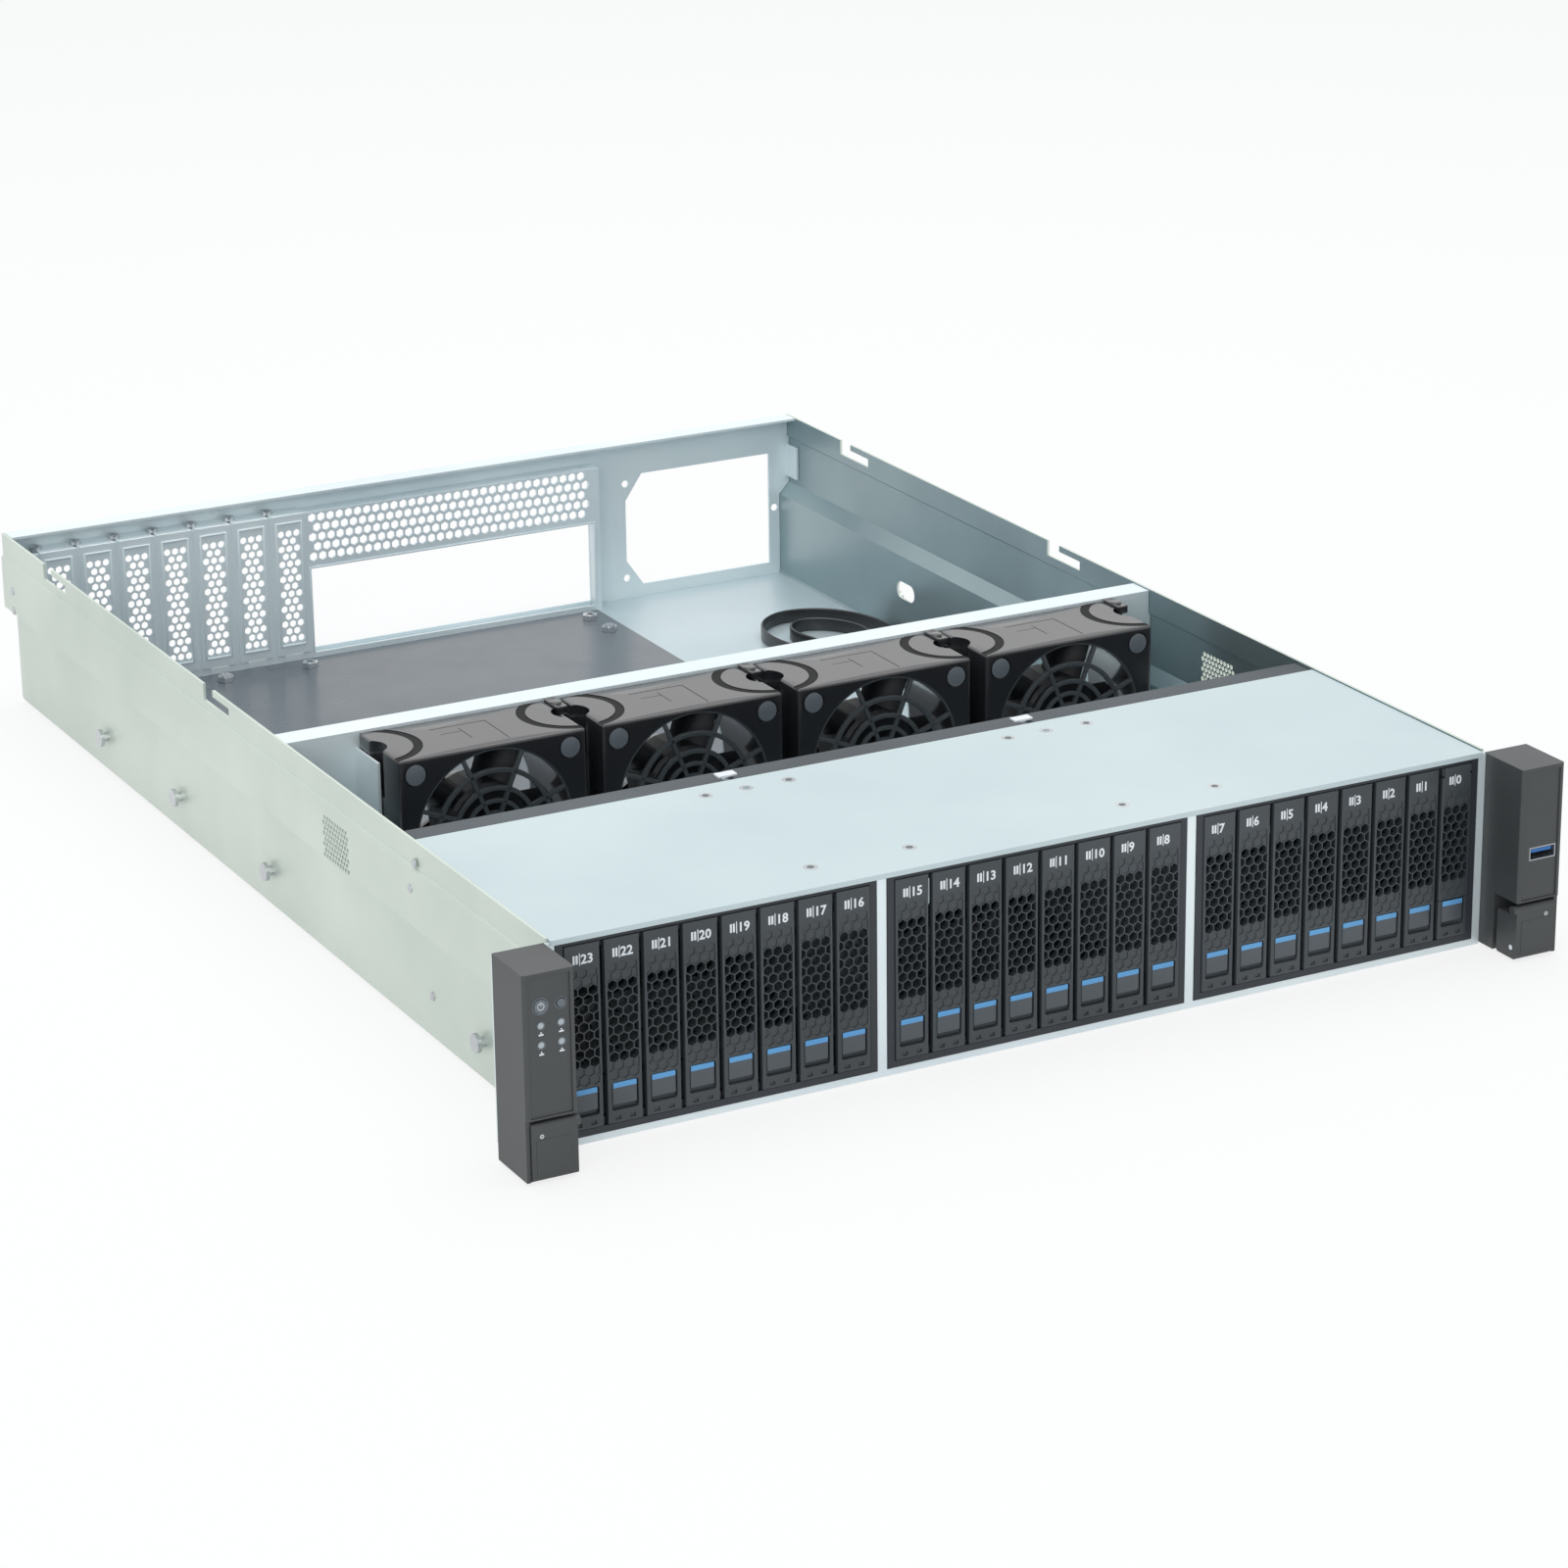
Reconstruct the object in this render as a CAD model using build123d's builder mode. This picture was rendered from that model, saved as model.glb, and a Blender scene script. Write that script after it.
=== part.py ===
"""Two-unit rackmount server chassis with 24 hot-swap drive carriers and four hot-swap fans.

Frame: +X to the right seen from the front, +Y towards the rear, +Z up. The origin is the
centre of the overall box, at the underside of the floor. All lengths are millimetres.
Depths named from the front are measured back from the front frame's outer face.
"""
from build123d import *

import os
from math import cos, hypot, radians, sin, tan

os.makedirs("parts", exist_ok=True)

# Overall sizes
rack_width = 482.6
ear_overhang = 21.3
body_height = 88.0
body_depth = 624.0
ear_reach = 26.0
body_width = rack_width - 2 * ear_overhang
front = -(body_depth - ear_reach) / 2
rear = front + body_depth

# Sheet metal
sheet = 1.2
thin_sheet = 0.8
bend_radius = 1.6
rail_inset = 6.0
joggle_height = 44.5
joggle_angle = 45.0
lid_band = 12.0
lid_band_step = 1.0
seam = 0.2

# Running and fitting clearances
slide_gap = 0.3
button_gap = 0.2
pin_gap = 0.05

# Side walls and their studs
wall_vent_depth = 205.0
wall_vent_drop = 30.5
wall_vent_columns = 6
wall_vent_rows = 5
wall_vent_pitch = 5.0
wall_vent_radius = 2.3
wall_vent_sides = 4
oval_depth = 486.0
oval_height = 27.0
oval_length = 18.0
oval_width = 9.0
lid_notch_depths = (534.0, 325.0)
lid_notch_length = 30.0
lid_notch_mouth = 11.0
lid_notch_drop = 7.5
lid_notch_height = 4.5
stud_depths = (72.9, 295.2, 405.1, 501.4)
stud_height = 18.2
stud_shank_radius = 2.4
stud_shank_length = 2.6
stud_shank_sides = 8
stud_head_radius = 4.2
stud_head_thickness = 1.8

# Drive bays, three groups of eight
group_count = 3
bays_per_group = 8
frame_edge = 4.4
frame_sill = 2.9
divider_width = 4.3
window_margin = 3.6
bay_gap = 1.95
carrier_base = 6.3
bezel_thickness = 3.0
bezel_proud = 1.0
drive_back = 112.0
rail_height = 3.2
rail_margin = 0.3

# Carrier face
button_margin = 1.9
button_base = 13.6
button_top = 23.4
button_depth = 2.2
button_travel = 1.5
catch_depth = 6.0
cheek_thickness = 0.8
cheek_height = 3.5
pocket_base = 11.6
lever_base = 23.9
hinge_drop = 1.5
hinge_pin_radius = 0.6
lever_round = 1.4
grille_base = 31.5
grille_margin = 2.6
grille_drop = 17.5
grille_point = 3.0

# Cage, cover and backplane
cover_drop = 0.6
frame_head = 1.2
carrier_head = 1.5
cage_depth = 122.0
cage_leg_depths = (12.0, 108.0)
cover_depth = 127.0
cover_hem = 2.2
cover_lip = 1.0
cover_hole_radius = 1.7
cover_hole_sides = 8
cover_hole_rows = ((115.0, (-19.0, 0.0, 20.0)), (20.0, (-21.0, 24.0)))
backplane_thickness = 2.0
backplane_margin = 1.0
shelf_depth = 141.0
shelf_root = 3.0
gasket_recess = 1.4
gasket_thickness = 1.8
gasket_gap = 0.5
gasket_notch = 2.5
air_slot_width = 6.0
air_slot_margin = 8.9
connector_base = 24.0
connector_width = 5.0
rear_socket_height = 20.0
rear_socket_margin = 45.0
rear_socket_count = 6
rear_socket_width = 20.0
rear_socket_depth = 8.0
liner_floor = 0.6
liner_floor_inset = 4.4
liner_proud = 0.4
liner_depth = 110.0
rib_height = 3.0

# Fan row
fan_count = 4
fan_row_margin = 28.0
fan_row_shift = 4.0
module_gap = 8.0
module_front = 219.5
module_depth = 43.0
module_base = 2.7
module_drop = 1.6
module_corner = 1.5
fan_roof = 1.7
fan_sill = 11.1
guard_thickness = 1.6
guard_wire = 1.7
guard_ring = 22.0
guard_sides = 12
guard_bars = 4
guard_disc = 8.0
hub_radius = 19.0
hub_sides = 24
hub_chamfer = 1.5
blade_count = 5
blade_tip_gap = 2.3
blade_thickness = 1.4
blade_chord = 19.0
blade_pitch_angle = 38.0
blade_camber = 2.6
blade_root = 2.0
shaft_radius = 4.0
rotor_front = 226.0
rotor_depth = 22.0
motor_seat_radius = 14.0
strut_width = 3.0
strut_thickness = 3.0
strut_bars = 2
strut_angle = 30.0
finger_hole_radius = 8.5
finger_hole_depth = 20.0
finger_hole_shift = 2.5
finger_hole_sides = 16
latch_arm_reach = 5.4
latch_arm_thickness = 2.4
latch_arm_setback = 2.0
latch_arm_width = 12.0
latch_arm_base = 30.0
latch_arm_drop = 3.0
latch_hook_rise = 0.6
wall_flange = 13.5
wall_gap = 0.3
fan_lip = 9.0
fan_lip_gap = 0.5
guide_post_depth = 24.0
guide_post_drop = 7.4
post_gap = 0.4

# Rear panel
io_recess = 12.0
ledge_drop = 10.0
slot_count = 7
slot_pitch = 20.32
slot_inset = 8.2
slot_cover_width = 18.4
slot_cover_base = 5.0
slot_aperture_width = 14.4
slot_aperture_base = 8.0
slot_aperture_drop = 4.0
slot_tongue_width = 10.0
slot_vent_count = 4
slot_vent_radius = 5.0
slot_tab_overhang = 4.0
slot_screw_y = rear - 6.0
slot_screw_radius = 1.4
slot_screw_length = 4.0
slot_screw_sides = 6
slot_head_radius = 3.0
slot_head_height = 1.8
slot_head_sides = 8
io_window_gap = 0.56
io_window_width = 158.75
io_window_base = 4.0
io_window_height = 44.45
io_margin = 3.75
vent_rows = 2
vent_columns = 12
vent_margin = 4.4
vent_web = 1.6
top_flange = 10.5
side_tab_depth = 12.0
side_tab_margin = 4.0
psu_gap = 20.3
psu_margin = 6.3
psu_window_base = 7.6
psu_window_drop = 19.8
psu_bevel_x = 9.6
psu_bevel_z = 13.8
psu_hole_radius = 2.1
psu_hole_sides = 6
psu_hole_inset = 4.5
rear_opening_margin = 4.6
rear_opening_base = 3.0
rear_opening_drop = 3.0

# Ears
ear_lap = 0.4
ear_gap = 0.1
ear_base = 0.9
ear_drop = 1.6
ear_wall = 1.7
ear_corner = 1.2
fascia_edge = 0.8
fascia_recess = 0.6
latch_ceiling = 26.6
latch_depth = 13.8
latch_corner = 1.5
latch_web = 2.4
latch_pin_seat = 1.2
latch_recess = 16.0
latch_block_top = 20.6
latch_bar_radius = 2.1
latch_bar_height = 23.0
latch_bar_overhang = 1.0
latch_pin_radius = 1.1
latch_pin_setback = 3.5
latch_pin_height = 6.0
rack_hole_inset = 8.75
rack_hole_height = 21.8
rack_hole_radius = 3.25
button_column = 7.4
lens_column = 15.9
button_drop = 15.3
power_button_radius = 2.8
reset_button_radius = 1.7
panel_button_length = 6.0
panel_button_flange = 0.9
lens_radius = 1.3
lens_sides = 8
lens_drops = (23.3, 31.2)
lens_depth = 1.6
bracket_base = 8.0
bracket_drop = 4.0
bracket_flange = 31.0
bracket_flange_drops = (36.0, 13.0)
usb_width = 13.4
usb_height = 5.8
usb_depth = 14.0
usb_drop = 40.3
usb_shift = 1.5
usb_tongue_rise = 1.0
usb_tongue_width = 11.0
usb_tongue_thickness = 2.0
usb_tongue_length = 12.0
usb_wall = 0.5

# Floor furniture
insulator_thickness = 0.5
insulator_front = 290.0
insulator_margin = 7.6
insulator_gap = 3.2
standoff_radius = 4.2
standoff_height = 3.2
standoff_hole_radius = 1.5
hole_row_setback = 14.0
board_inset = 13.7
board_hole_span = 157.48
board_left_span = 124.46
board_extra_span = 45.72
board_row_offsets = (154.94, 227.33)
board_second_offset = 22.86

# Front panel cable; its route lists setbacks from the inner wall and depths from the front
ribbon_width = 7.0
ribbon_thickness = 1.5
coil_setback = 34.2
coil_depth = 508.5
coil_half_width = 32.4
coil_half_length = 37.0
arc_share = 0.45
tail_route = ((9.2, 263.0), (8.8, 324.0), (4.5, 389.0), (3.6, 449.0), (7.8, 499.0))
cable_slot_setback = 9.0
cable_slot_width = 10.0
cable_slot_height = 12.0
cable_plug_width = 9.0
cable_plug_length = 14.0
cable_plug_height = 8.0
cable_plug_corner = 0.8

# Values worked out from the ones above
half_body = body_width / 2
half_lower = half_body - rail_inset
half_inner = half_lower - sheet
panel_half = half_inner - seam
floor_half = half_inner - bend_radius - seam
band_half = half_body - lid_band_step - sheet - seam
frame_back = front + sheet
floor_top = sheet
cover_top = body_height - cover_drop
cover_under = cover_top - sheet
cover_half = band_half - slide_gap + seam
window_top = cover_under - frame_head
window_width = (body_width - 2 * frame_edge - (group_count - 1) * divider_width) / group_count
window_half = window_width / 2
window_middle = (frame_sill + window_top) / 2
group_pitch = window_width + divider_width
divider_x = group_pitch / 2
carrier_pitch = (window_width - 2 * window_margin + bay_gap) / bays_per_group
carrier_width = carrier_pitch - bay_gap
carrier_top = window_top - carrier_head
carrier_height = carrier_top - carrier_base
carrier_middle = (carrier_base + carrier_top) / 2
group_span = window_width - 2 * window_margin
rail_width = carrier_width - 2 * rail_margin
button_width = carrier_width - 2 * button_margin
grille_half = carrier_width / 2 - grille_margin
grille_top = carrier_top - grille_drop
bay_floor = carrier_base - slide_gap
liner_top = carrier_top + slide_gap
rib_width = bay_gap - 2 * slide_gap
cage_floor_top = bay_floor - liner_floor
cage_back = front + cage_depth
shelf_top = cover_under - gasket_recess
ear_outer = rack_width / 2
ear_inner = half_body - ear_lap
ear_front = front - ear_reach
ear_top = body_height - ear_drop
fascia_front = ear_front + fascia_recess
fascia_back = ear_front + ear_wall
latch_pin_y = ear_front + latch_pin_setback
rack_hole_x = ear_outer - rack_hole_inset
bracket_top = body_height - bracket_drop
button_row = body_height - button_drop
lens_rows = [body_height - drop for drop in lens_drops]
lens_places = [
    (-ear_outer + column, row) for row in lens_rows for column in (button_column, lens_column)
]
fan_pitch = (body_width - 2 * fan_row_margin) / fan_count
module_width = fan_pitch - module_gap
half_module = module_width / 2
module_top = body_height - module_drop
module_back = front + module_front + module_depth
module_middle = front + module_front + module_depth / 2
fan_bore = (module_top - fan_roof - fan_sill) / 2
fan_axis_height = fan_sill + fan_bore
fan_wall_front = module_back + wall_gap
fan_centres = [
    fan_row_shift + (fan - (fan_count - 1) / 2) * fan_pitch for fan in range(fan_count)
]
ledge_height = body_height - ledge_drop
io_front = rear - io_recess
io_left = -(panel_half - sheet - seam)
slot_lefts = [-panel_half + slot_inset + slot * slot_pitch for slot in range(slot_count)]
io_window_left = slot_lefts[-1] + slot_pitch + io_window_gap
io_right = io_window_left + io_window_width + io_margin
vent_band = ledge_height - io_window_base - io_window_height
vent_column_pitch = io_window_width / (vent_columns + 1)
vent_row_pitch = (vent_band - 2 * vent_margin) / vent_rows
vent_half_width = (vent_column_pitch - vent_web) / 2
vent_half_height = (vent_row_pitch - vent_web) / 2
rear_socket_pitch = (body_width - 2 * rear_socket_margin) / (rear_socket_count - 1)
psu_window_left = io_right + psu_gap
psu_window_right = panel_half - psu_margin
psu_window_top = body_height - psu_window_drop
board_row = io_front - hole_row_setback
board_right = io_right - board_inset
board_middle = board_right - board_hole_span
board_left = board_middle - board_left_span
first_row = board_row - board_row_offsets[0]
mounting_places = [
    (board_right, board_row),
    (board_middle, board_row),
    (board_right, first_row),
    (board_middle, first_row),
]
support_places = [
    (board_middle - board_extra_span, board_row),
    (board_right, board_row - board_second_offset),
    (board_left, first_row),
    (board_right, board_row - board_row_offsets[1]),
    (board_middle, board_row - board_row_offsets[1]),
    (board_left, board_row - board_row_offsets[1]),
]
coil_centre = (half_inner - coil_setback, front + coil_depth)
tail_points = [(half_inner - setback, front + depth) for setback, depth in tail_route]


def facing_front(y):
    """A plane seen from the front: local x runs along X and local y along Z."""
    return Plane(origin=(0, y, 0), x_dir=(1, 0, 0), z_dir=(0, -1, 0))


def facing_right(x):
    """A plane seen from the right: local x runs along Y and local y along Z."""
    return Plane(origin=(x, 0, 0), x_dir=(0, 1, 0), z_dir=(1, 0, 0))


def facing_up(z):
    """A plane seen from above: local x runs along X and local y along Y."""
    return Plane(origin=(0, 0, z), x_dir=(1, 0, 0), z_dir=(0, 0, 1))


def span_rectangle(u_span, v_span, mode=Mode.ADD):
    """Sketch a rectangle from the two ends it has along each axis of the plane."""
    with Locations((sum(u_span) / 2, sum(v_span) / 2)):
        Rectangle(u_span[1] - u_span[0], v_span[1] - v_span[0], mode=mode)


def save(shape, name):
    """Label a finished piece and write it under the name of its node."""
    shape.label = name
    export_step(shape, f"parts/{name}.step")


def wall_points(skin, base, top):
    """The right-hand side of the tray's cross-section at a depth into the metal."""
    corner = skin * tan(radians(joggle_angle / 2))
    rise = rail_inset / tan(radians(joggle_angle))
    return [
        (half_lower - skin, base),
        (half_lower - skin, joggle_height + corner),
        (half_body - skin, joggle_height + rise + corner),
        (half_body - skin, body_height - lid_band - corner),
        (half_body - lid_band_step - skin, body_height - lid_band + lid_band_step - corner),
        (half_body - lid_band_step - skin, top),
    ]


def across(points):
    """Right-hand points followed by their mirror images, a closed outline in all."""
    return points + [(-x, z) for x, z in reversed(points)]


# The tray: floor and both side walls, one bent sheet with a joggle for the slide rails
with BuildPart() as base_tray:
    with BuildSketch(facing_front(rear)):
        with BuildLine():
            outside = wall_points(0, 0, body_height)
            inside = wall_points(sheet, floor_top, body_height)
            Polyline(
                *outside,
                *inside[::-1],
                *[(-x, z) for x, z in inside],
                *[(-x, z) for x, z in outside[::-1]],
                close=True,
            )
        make_face()
    extrude(amount=rear - frame_back)
    floor_bends = base_tray.edges().filter_by(Axis.Y).group_by(Axis.Z)[0]
    fillet(floor_bends, bend_radius + sheet)
    inner_bends = base_tray.edges().filter_by(Axis.Y).filter_by_position(Axis.Z, floor_top, floor_top)
    fillet(inner_bends, bend_radius)
    # The brackets of the ears lap the front edge of the upper walls
    with BuildSketch(facing_front(frame_back)):
        with GridLocations(half_lower + half_body, 0, 2, 1):
            with Locations((0, joggle_height)):
                Rectangle(rail_inset, bracket_top - joggle_height, align=(Align.CENTER, Align.MIN))
    extrude(amount=-sheet, mode=Mode.SUBTRACT)
    # Vents through both walls beside the fans
    with BuildSketch(facing_right(half_body)):
        with Locations((front + wall_vent_depth, body_height - wall_vent_drop)):
            with GridLocations(wall_vent_pitch, wall_vent_pitch, wall_vent_columns, wall_vent_rows):
                RegularPolygon(wall_vent_radius, wall_vent_sides)
    extrude(amount=-body_width, mode=Mode.SUBTRACT)
    # Oval opening in the right lower wall
    with BuildSketch(facing_right(half_lower)):
        with Locations((front + oval_depth, oval_height)):
            SlotOverall(oval_length, oval_width)
    extrude(amount=-sheet, mode=Mode.SUBTRACT)
    # Bayonet notches in the top edge, where the lid hooks in
    notch_base = body_height - lid_notch_drop
    with BuildSketch(facing_right(half_body)):
        for notch_start in [front + depth for depth in lid_notch_depths]:
            notch_end = notch_start + lid_notch_length
            span_rectangle((notch_start, notch_end), (notch_base, notch_base + lid_notch_height))
            span_rectangle((notch_end - lid_notch_mouth, notch_end), (notch_base, body_height))
    extrude(amount=-body_width, mode=Mode.SUBTRACT)
save(base_tray.part, "base_tray")

# Headed studs on the lower walls, which hook into the slide rails
stud_places = [(front + depth, stud_height) for depth in stud_depths]
with BuildPart() as rail_studs:
    with BuildSketch(facing_right(half_lower)):
        with Locations(*stud_places):
            RegularPolygon(stud_shank_radius, stud_shank_sides)
    extrude(amount=stud_shank_length)
    with BuildSketch(facing_right(half_lower + stud_shank_length)):
        with Locations(*stud_places):
            Circle(stud_head_radius)
    extrude(amount=stud_head_thickness)
    mirror(about=Plane.YZ)
save(rail_studs.part, "rail_studs")

# Rear panel: a stepped plate with the power supply window, side tabs and a top flange
with BuildPart() as rear_panel:
    with BuildSketch(facing_front(rear)):
        with BuildLine():
            Polyline(*across(wall_points(sheet + seam, floor_top, body_height)), close=True)
        make_face()
        corners = vertices().group_by(Axis.Y)[0]
        fillet(corners, bend_radius + seam)
        with BuildLine(mode=Mode.PRIVATE) as psu_edge:
            Polyline(
                (psu_window_left + psu_bevel_x, psu_window_base),
                (psu_window_right, psu_window_base),
                (psu_window_right, psu_window_top),
                (psu_window_left + psu_bevel_x, psu_window_top),
                (psu_window_left, psu_window_top - psu_bevel_z),
                (psu_window_left, psu_window_base + psu_bevel_z),
                close=True,
            )
        make_face(psu_edge.edges(), mode=Mode.SUBTRACT)
        with Locations(
            (psu_window_left, psu_window_base + psu_hole_inset),
            (psu_window_left, psu_window_top - psu_hole_inset),
            (psu_window_right + psu_margin / 2, (psu_window_base + psu_window_top) / 2),
        ):
            RegularPolygon(psu_hole_radius, psu_hole_sides, mode=Mode.SUBTRACT)
        span_rectangle(
            (rear_opening_margin - panel_half, io_right - sheet),
            (rear_opening_base, ledge_height - rear_opening_drop),
            mode=Mode.SUBTRACT,
        )
    extrude(amount=sheet)
    with BuildSketch(facing_right(0)):
        span_rectangle((rear - top_flange, rear), (body_height - sheet, body_height))
    extrude(amount=band_half, both=True)
    # Tabs that the side walls are riveted to
    with BuildSketch(facing_front(rear)):
        with GridLocations(2 * (half_body - sheet - seam) - sheet, 0, 2, 1):
            span_rectangle(
                (-sheet / 2, sheet / 2),
                (
                    joggle_height + rail_inset + side_tab_margin,
                    body_height - lid_band - side_tab_margin,
                ),
            )
    extrude(amount=side_tab_depth)
save(rear_panel.part, "rear_panel")

# Recessed panel: a bent sheet with the ledge, then the I/O window, vents and slots cut in it
with BuildSketch(facing_front(0)) as vent_hole:
    with BuildLine():
        Polyline(
            (-vent_half_width, 0),
            (-vent_half_width / 2, -vent_half_height),
            (vent_half_width / 2, -vent_half_height),
            (vent_half_width, 0),
            (vent_half_width / 2, vent_half_height),
            (-vent_half_width / 2, vent_half_height),
            close=True,
        )
    make_face()
with BuildPart() as io_panel:
    with BuildSketch(facing_right(io_left)):
        with BuildLine():
            Polyline(
                (io_front, floor_top),
                (io_front, ledge_height),
                (rear - sheet, ledge_height),
                (rear - sheet, ledge_height - sheet),
                (io_front + sheet, ledge_height - sheet),
                (io_front + sheet, floor_top),
                close=True,
            )
        make_face()
    extrude(amount=io_right - io_left)
    with BuildSketch(facing_right(io_right)):
        span_rectangle((io_front, rear - sheet), (floor_top, ledge_height))
    extrude(amount=-sheet)
    with BuildSketch(facing_front(io_front)):
        with Locations((io_window_left, io_window_base)):
            Rectangle(io_window_width, io_window_height, align=Align.MIN)
        for slot_left in slot_lefts:
            slot_middle = slot_left + slot_cover_width / 2
            span_rectangle(
                (slot_middle - slot_aperture_width / 2, slot_middle + slot_aperture_width / 2),
                (slot_aperture_base, ledge_height - slot_aperture_drop),
            )
        with Locations((io_window_left + io_window_width / 2, ledge_height - vent_band / 2)):
            with GridLocations(vent_column_pitch, vent_row_pitch, vent_columns, vent_rows):
                add(vent_hole.sketch_local)
    extrude(amount=-sheet, mode=Mode.SUBTRACT)
    with BuildSketch(facing_up(ledge_height)):
        with Locations(*[(left, slot_screw_y) for left in slot_lefts]):
            RegularPolygon(slot_screw_radius + pin_gap, slot_screw_sides)
    extrude(amount=-sheet, mode=Mode.SUBTRACT)
save(io_panel.part, "io_panel")

# One slot cover, bent over the ledge at the top
with BuildPart() as slot_cover:
    with BuildSketch(facing_right(0)):
        with BuildLine():
            Polyline(
                (io_front - thin_sheet, slot_cover_base),
                (io_front - thin_sheet, ledge_height + thin_sheet),
                (slot_screw_y + slot_tab_overhang, ledge_height + thin_sheet),
                (slot_screw_y + slot_tab_overhang, ledge_height),
                (io_front, ledge_height),
                (io_front, slot_cover_base),
                close=True,
            )
        make_face()
    extrude(amount=slot_cover_width)
    with BuildSketch(facing_front(io_front)):
        with Locations((slot_cover_width / 2, slot_cover_base)):
            Rectangle(slot_tongue_width, slot_cover_base - floor_top, align=(Align.CENTER, Align.MAX))
    extrude(amount=thin_sheet)
    with BuildSketch(facing_front(io_front)):
        aperture_top = ledge_height - slot_aperture_drop
        with Locations((slot_cover_width / 2, (slot_aperture_base + aperture_top) / 2)):
            with GridLocations(
                0, (aperture_top - slot_aperture_base) / (slot_vent_count + 1), 1, slot_vent_count
            ):
                RegularPolygon(slot_vent_radius, 6)
    extrude(amount=thin_sheet, mode=Mode.SUBTRACT)
    with BuildSketch(facing_up(ledge_height)):
        with Locations((0, slot_screw_y)):
            RegularPolygon(slot_screw_radius + slide_gap, slot_screw_sides)
    extrude(amount=thin_sheet, mode=Mode.SUBTRACT)

# One slot screw, which holds the left edge of a cover
with BuildPart() as slot_screw:
    with BuildSketch(facing_up(ledge_height + thin_sheet)):
        with Locations((0, slot_screw_y)):
            RegularPolygon(slot_head_radius, slot_head_sides)
    extrude(amount=slot_head_height)
    with BuildSketch(facing_up(ledge_height + thin_sheet)):
        with Locations((0, slot_screw_y)):
            RegularPolygon(slot_screw_radius, slot_screw_sides)
    extrude(amount=-slot_screw_length)

# Both repeat along the row of slots
with BuildPart() as slot_covers:
    with Locations(*[(left, 0, 0) for left in slot_lefts]):
        add(slot_cover.part)
save(slot_covers.part, "slot_covers")
with BuildPart() as slot_screws:
    with Locations(*[(left, 0, 0) for left in slot_lefts]):
        add(slot_screw.part)
save(slot_screws.part, "slot_screws")

# Insulating film on the floor, cut clear of the standoffs
with BuildPart() as insulator_sheet:
    with BuildSketch(facing_up(floor_top)):
        span_rectangle(
            (insulator_margin - panel_half, io_right - insulator_gap),
            (front + insulator_front, io_front - thin_sheet - seam),
        )
        with Locations(*mounting_places, *support_places):
            RegularPolygon(standoff_radius + slide_gap, 6, mode=Mode.SUBTRACT)
    extrude(amount=insulator_thickness)
save(insulator_sheet.part, "insulator_sheet")

# Hexagon standoffs under the system board: four are bored for its screws, six only support it
with BuildPart() as board_standoffs:
    with BuildSketch(facing_up(floor_top)):
        with Locations(*mounting_places, *support_places):
            RegularPolygon(standoff_radius, 6)
        with Locations(*mounting_places):
            Circle(standoff_hole_radius, mode=Mode.SUBTRACT)
    extrude(amount=standoff_height)
save(board_standoffs.part, "board_standoffs")

# Fan wall: apertures behind the fans, a top flange, a floor flange with a lip, guide posts
with BuildPart() as fan_wall:
    with BuildSketch(facing_front(fan_wall_front)):
        with BuildLine():
            Polyline(*across(wall_points(sheet + seam, floor_top, cover_top)), close=True)
        make_face()
        corners = vertices().group_by(Axis.Y)[0]
        fillet(corners, bend_radius + seam)
        with Locations(*[(centre, fan_axis_height) for centre in fan_centres]):
            Circle(fan_bore, mode=Mode.SUBTRACT)
        with Locations((half_inner - cable_slot_setback, floor_top)):
            Rectangle(
                cable_slot_width,
                cable_slot_height,
                align=(Align.CENTER, Align.MIN),
                mode=Mode.SUBTRACT,
            )
    extrude(amount=-sheet)
    with BuildSketch(facing_right(0)):
        span_rectangle((fan_wall_front, fan_wall_front + wall_flange), (cover_top - sheet, cover_top))
    extrude(amount=band_half, both=True)
    fan_floor_front = front + module_front - fan_lip_gap - sheet
    with BuildSketch(facing_right(0)):
        with BuildLine():
            Polyline(
                (fan_wall_front, floor_top),
                (fan_wall_front, floor_top + sheet),
                (fan_floor_front + sheet, floor_top + sheet),
                (fan_floor_front + sheet, floor_top + fan_lip),
                (fan_floor_front, floor_top + fan_lip),
                (fan_floor_front, floor_top),
                close=True,
            )
        make_face()
    extrude(amount=floor_half, both=True)
    first_post = fan_centres[0] - half_module - post_gap - sheet / 2
    post_places = [
        centre + half_module + latch_arm_reach + post_gap + sheet / 2 for centre in fan_centres
    ]
    with BuildSketch(facing_up(floor_top)):
        with Locations(*[(x, fan_wall_front) for x in [first_post, *post_places]]):
            Rectangle(sheet, guide_post_depth, align=(Align.CENTER, Align.MAX))
    extrude(amount=cover_top - guide_post_drop - floor_top)
save(fan_wall.part, "fan_wall")

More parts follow.
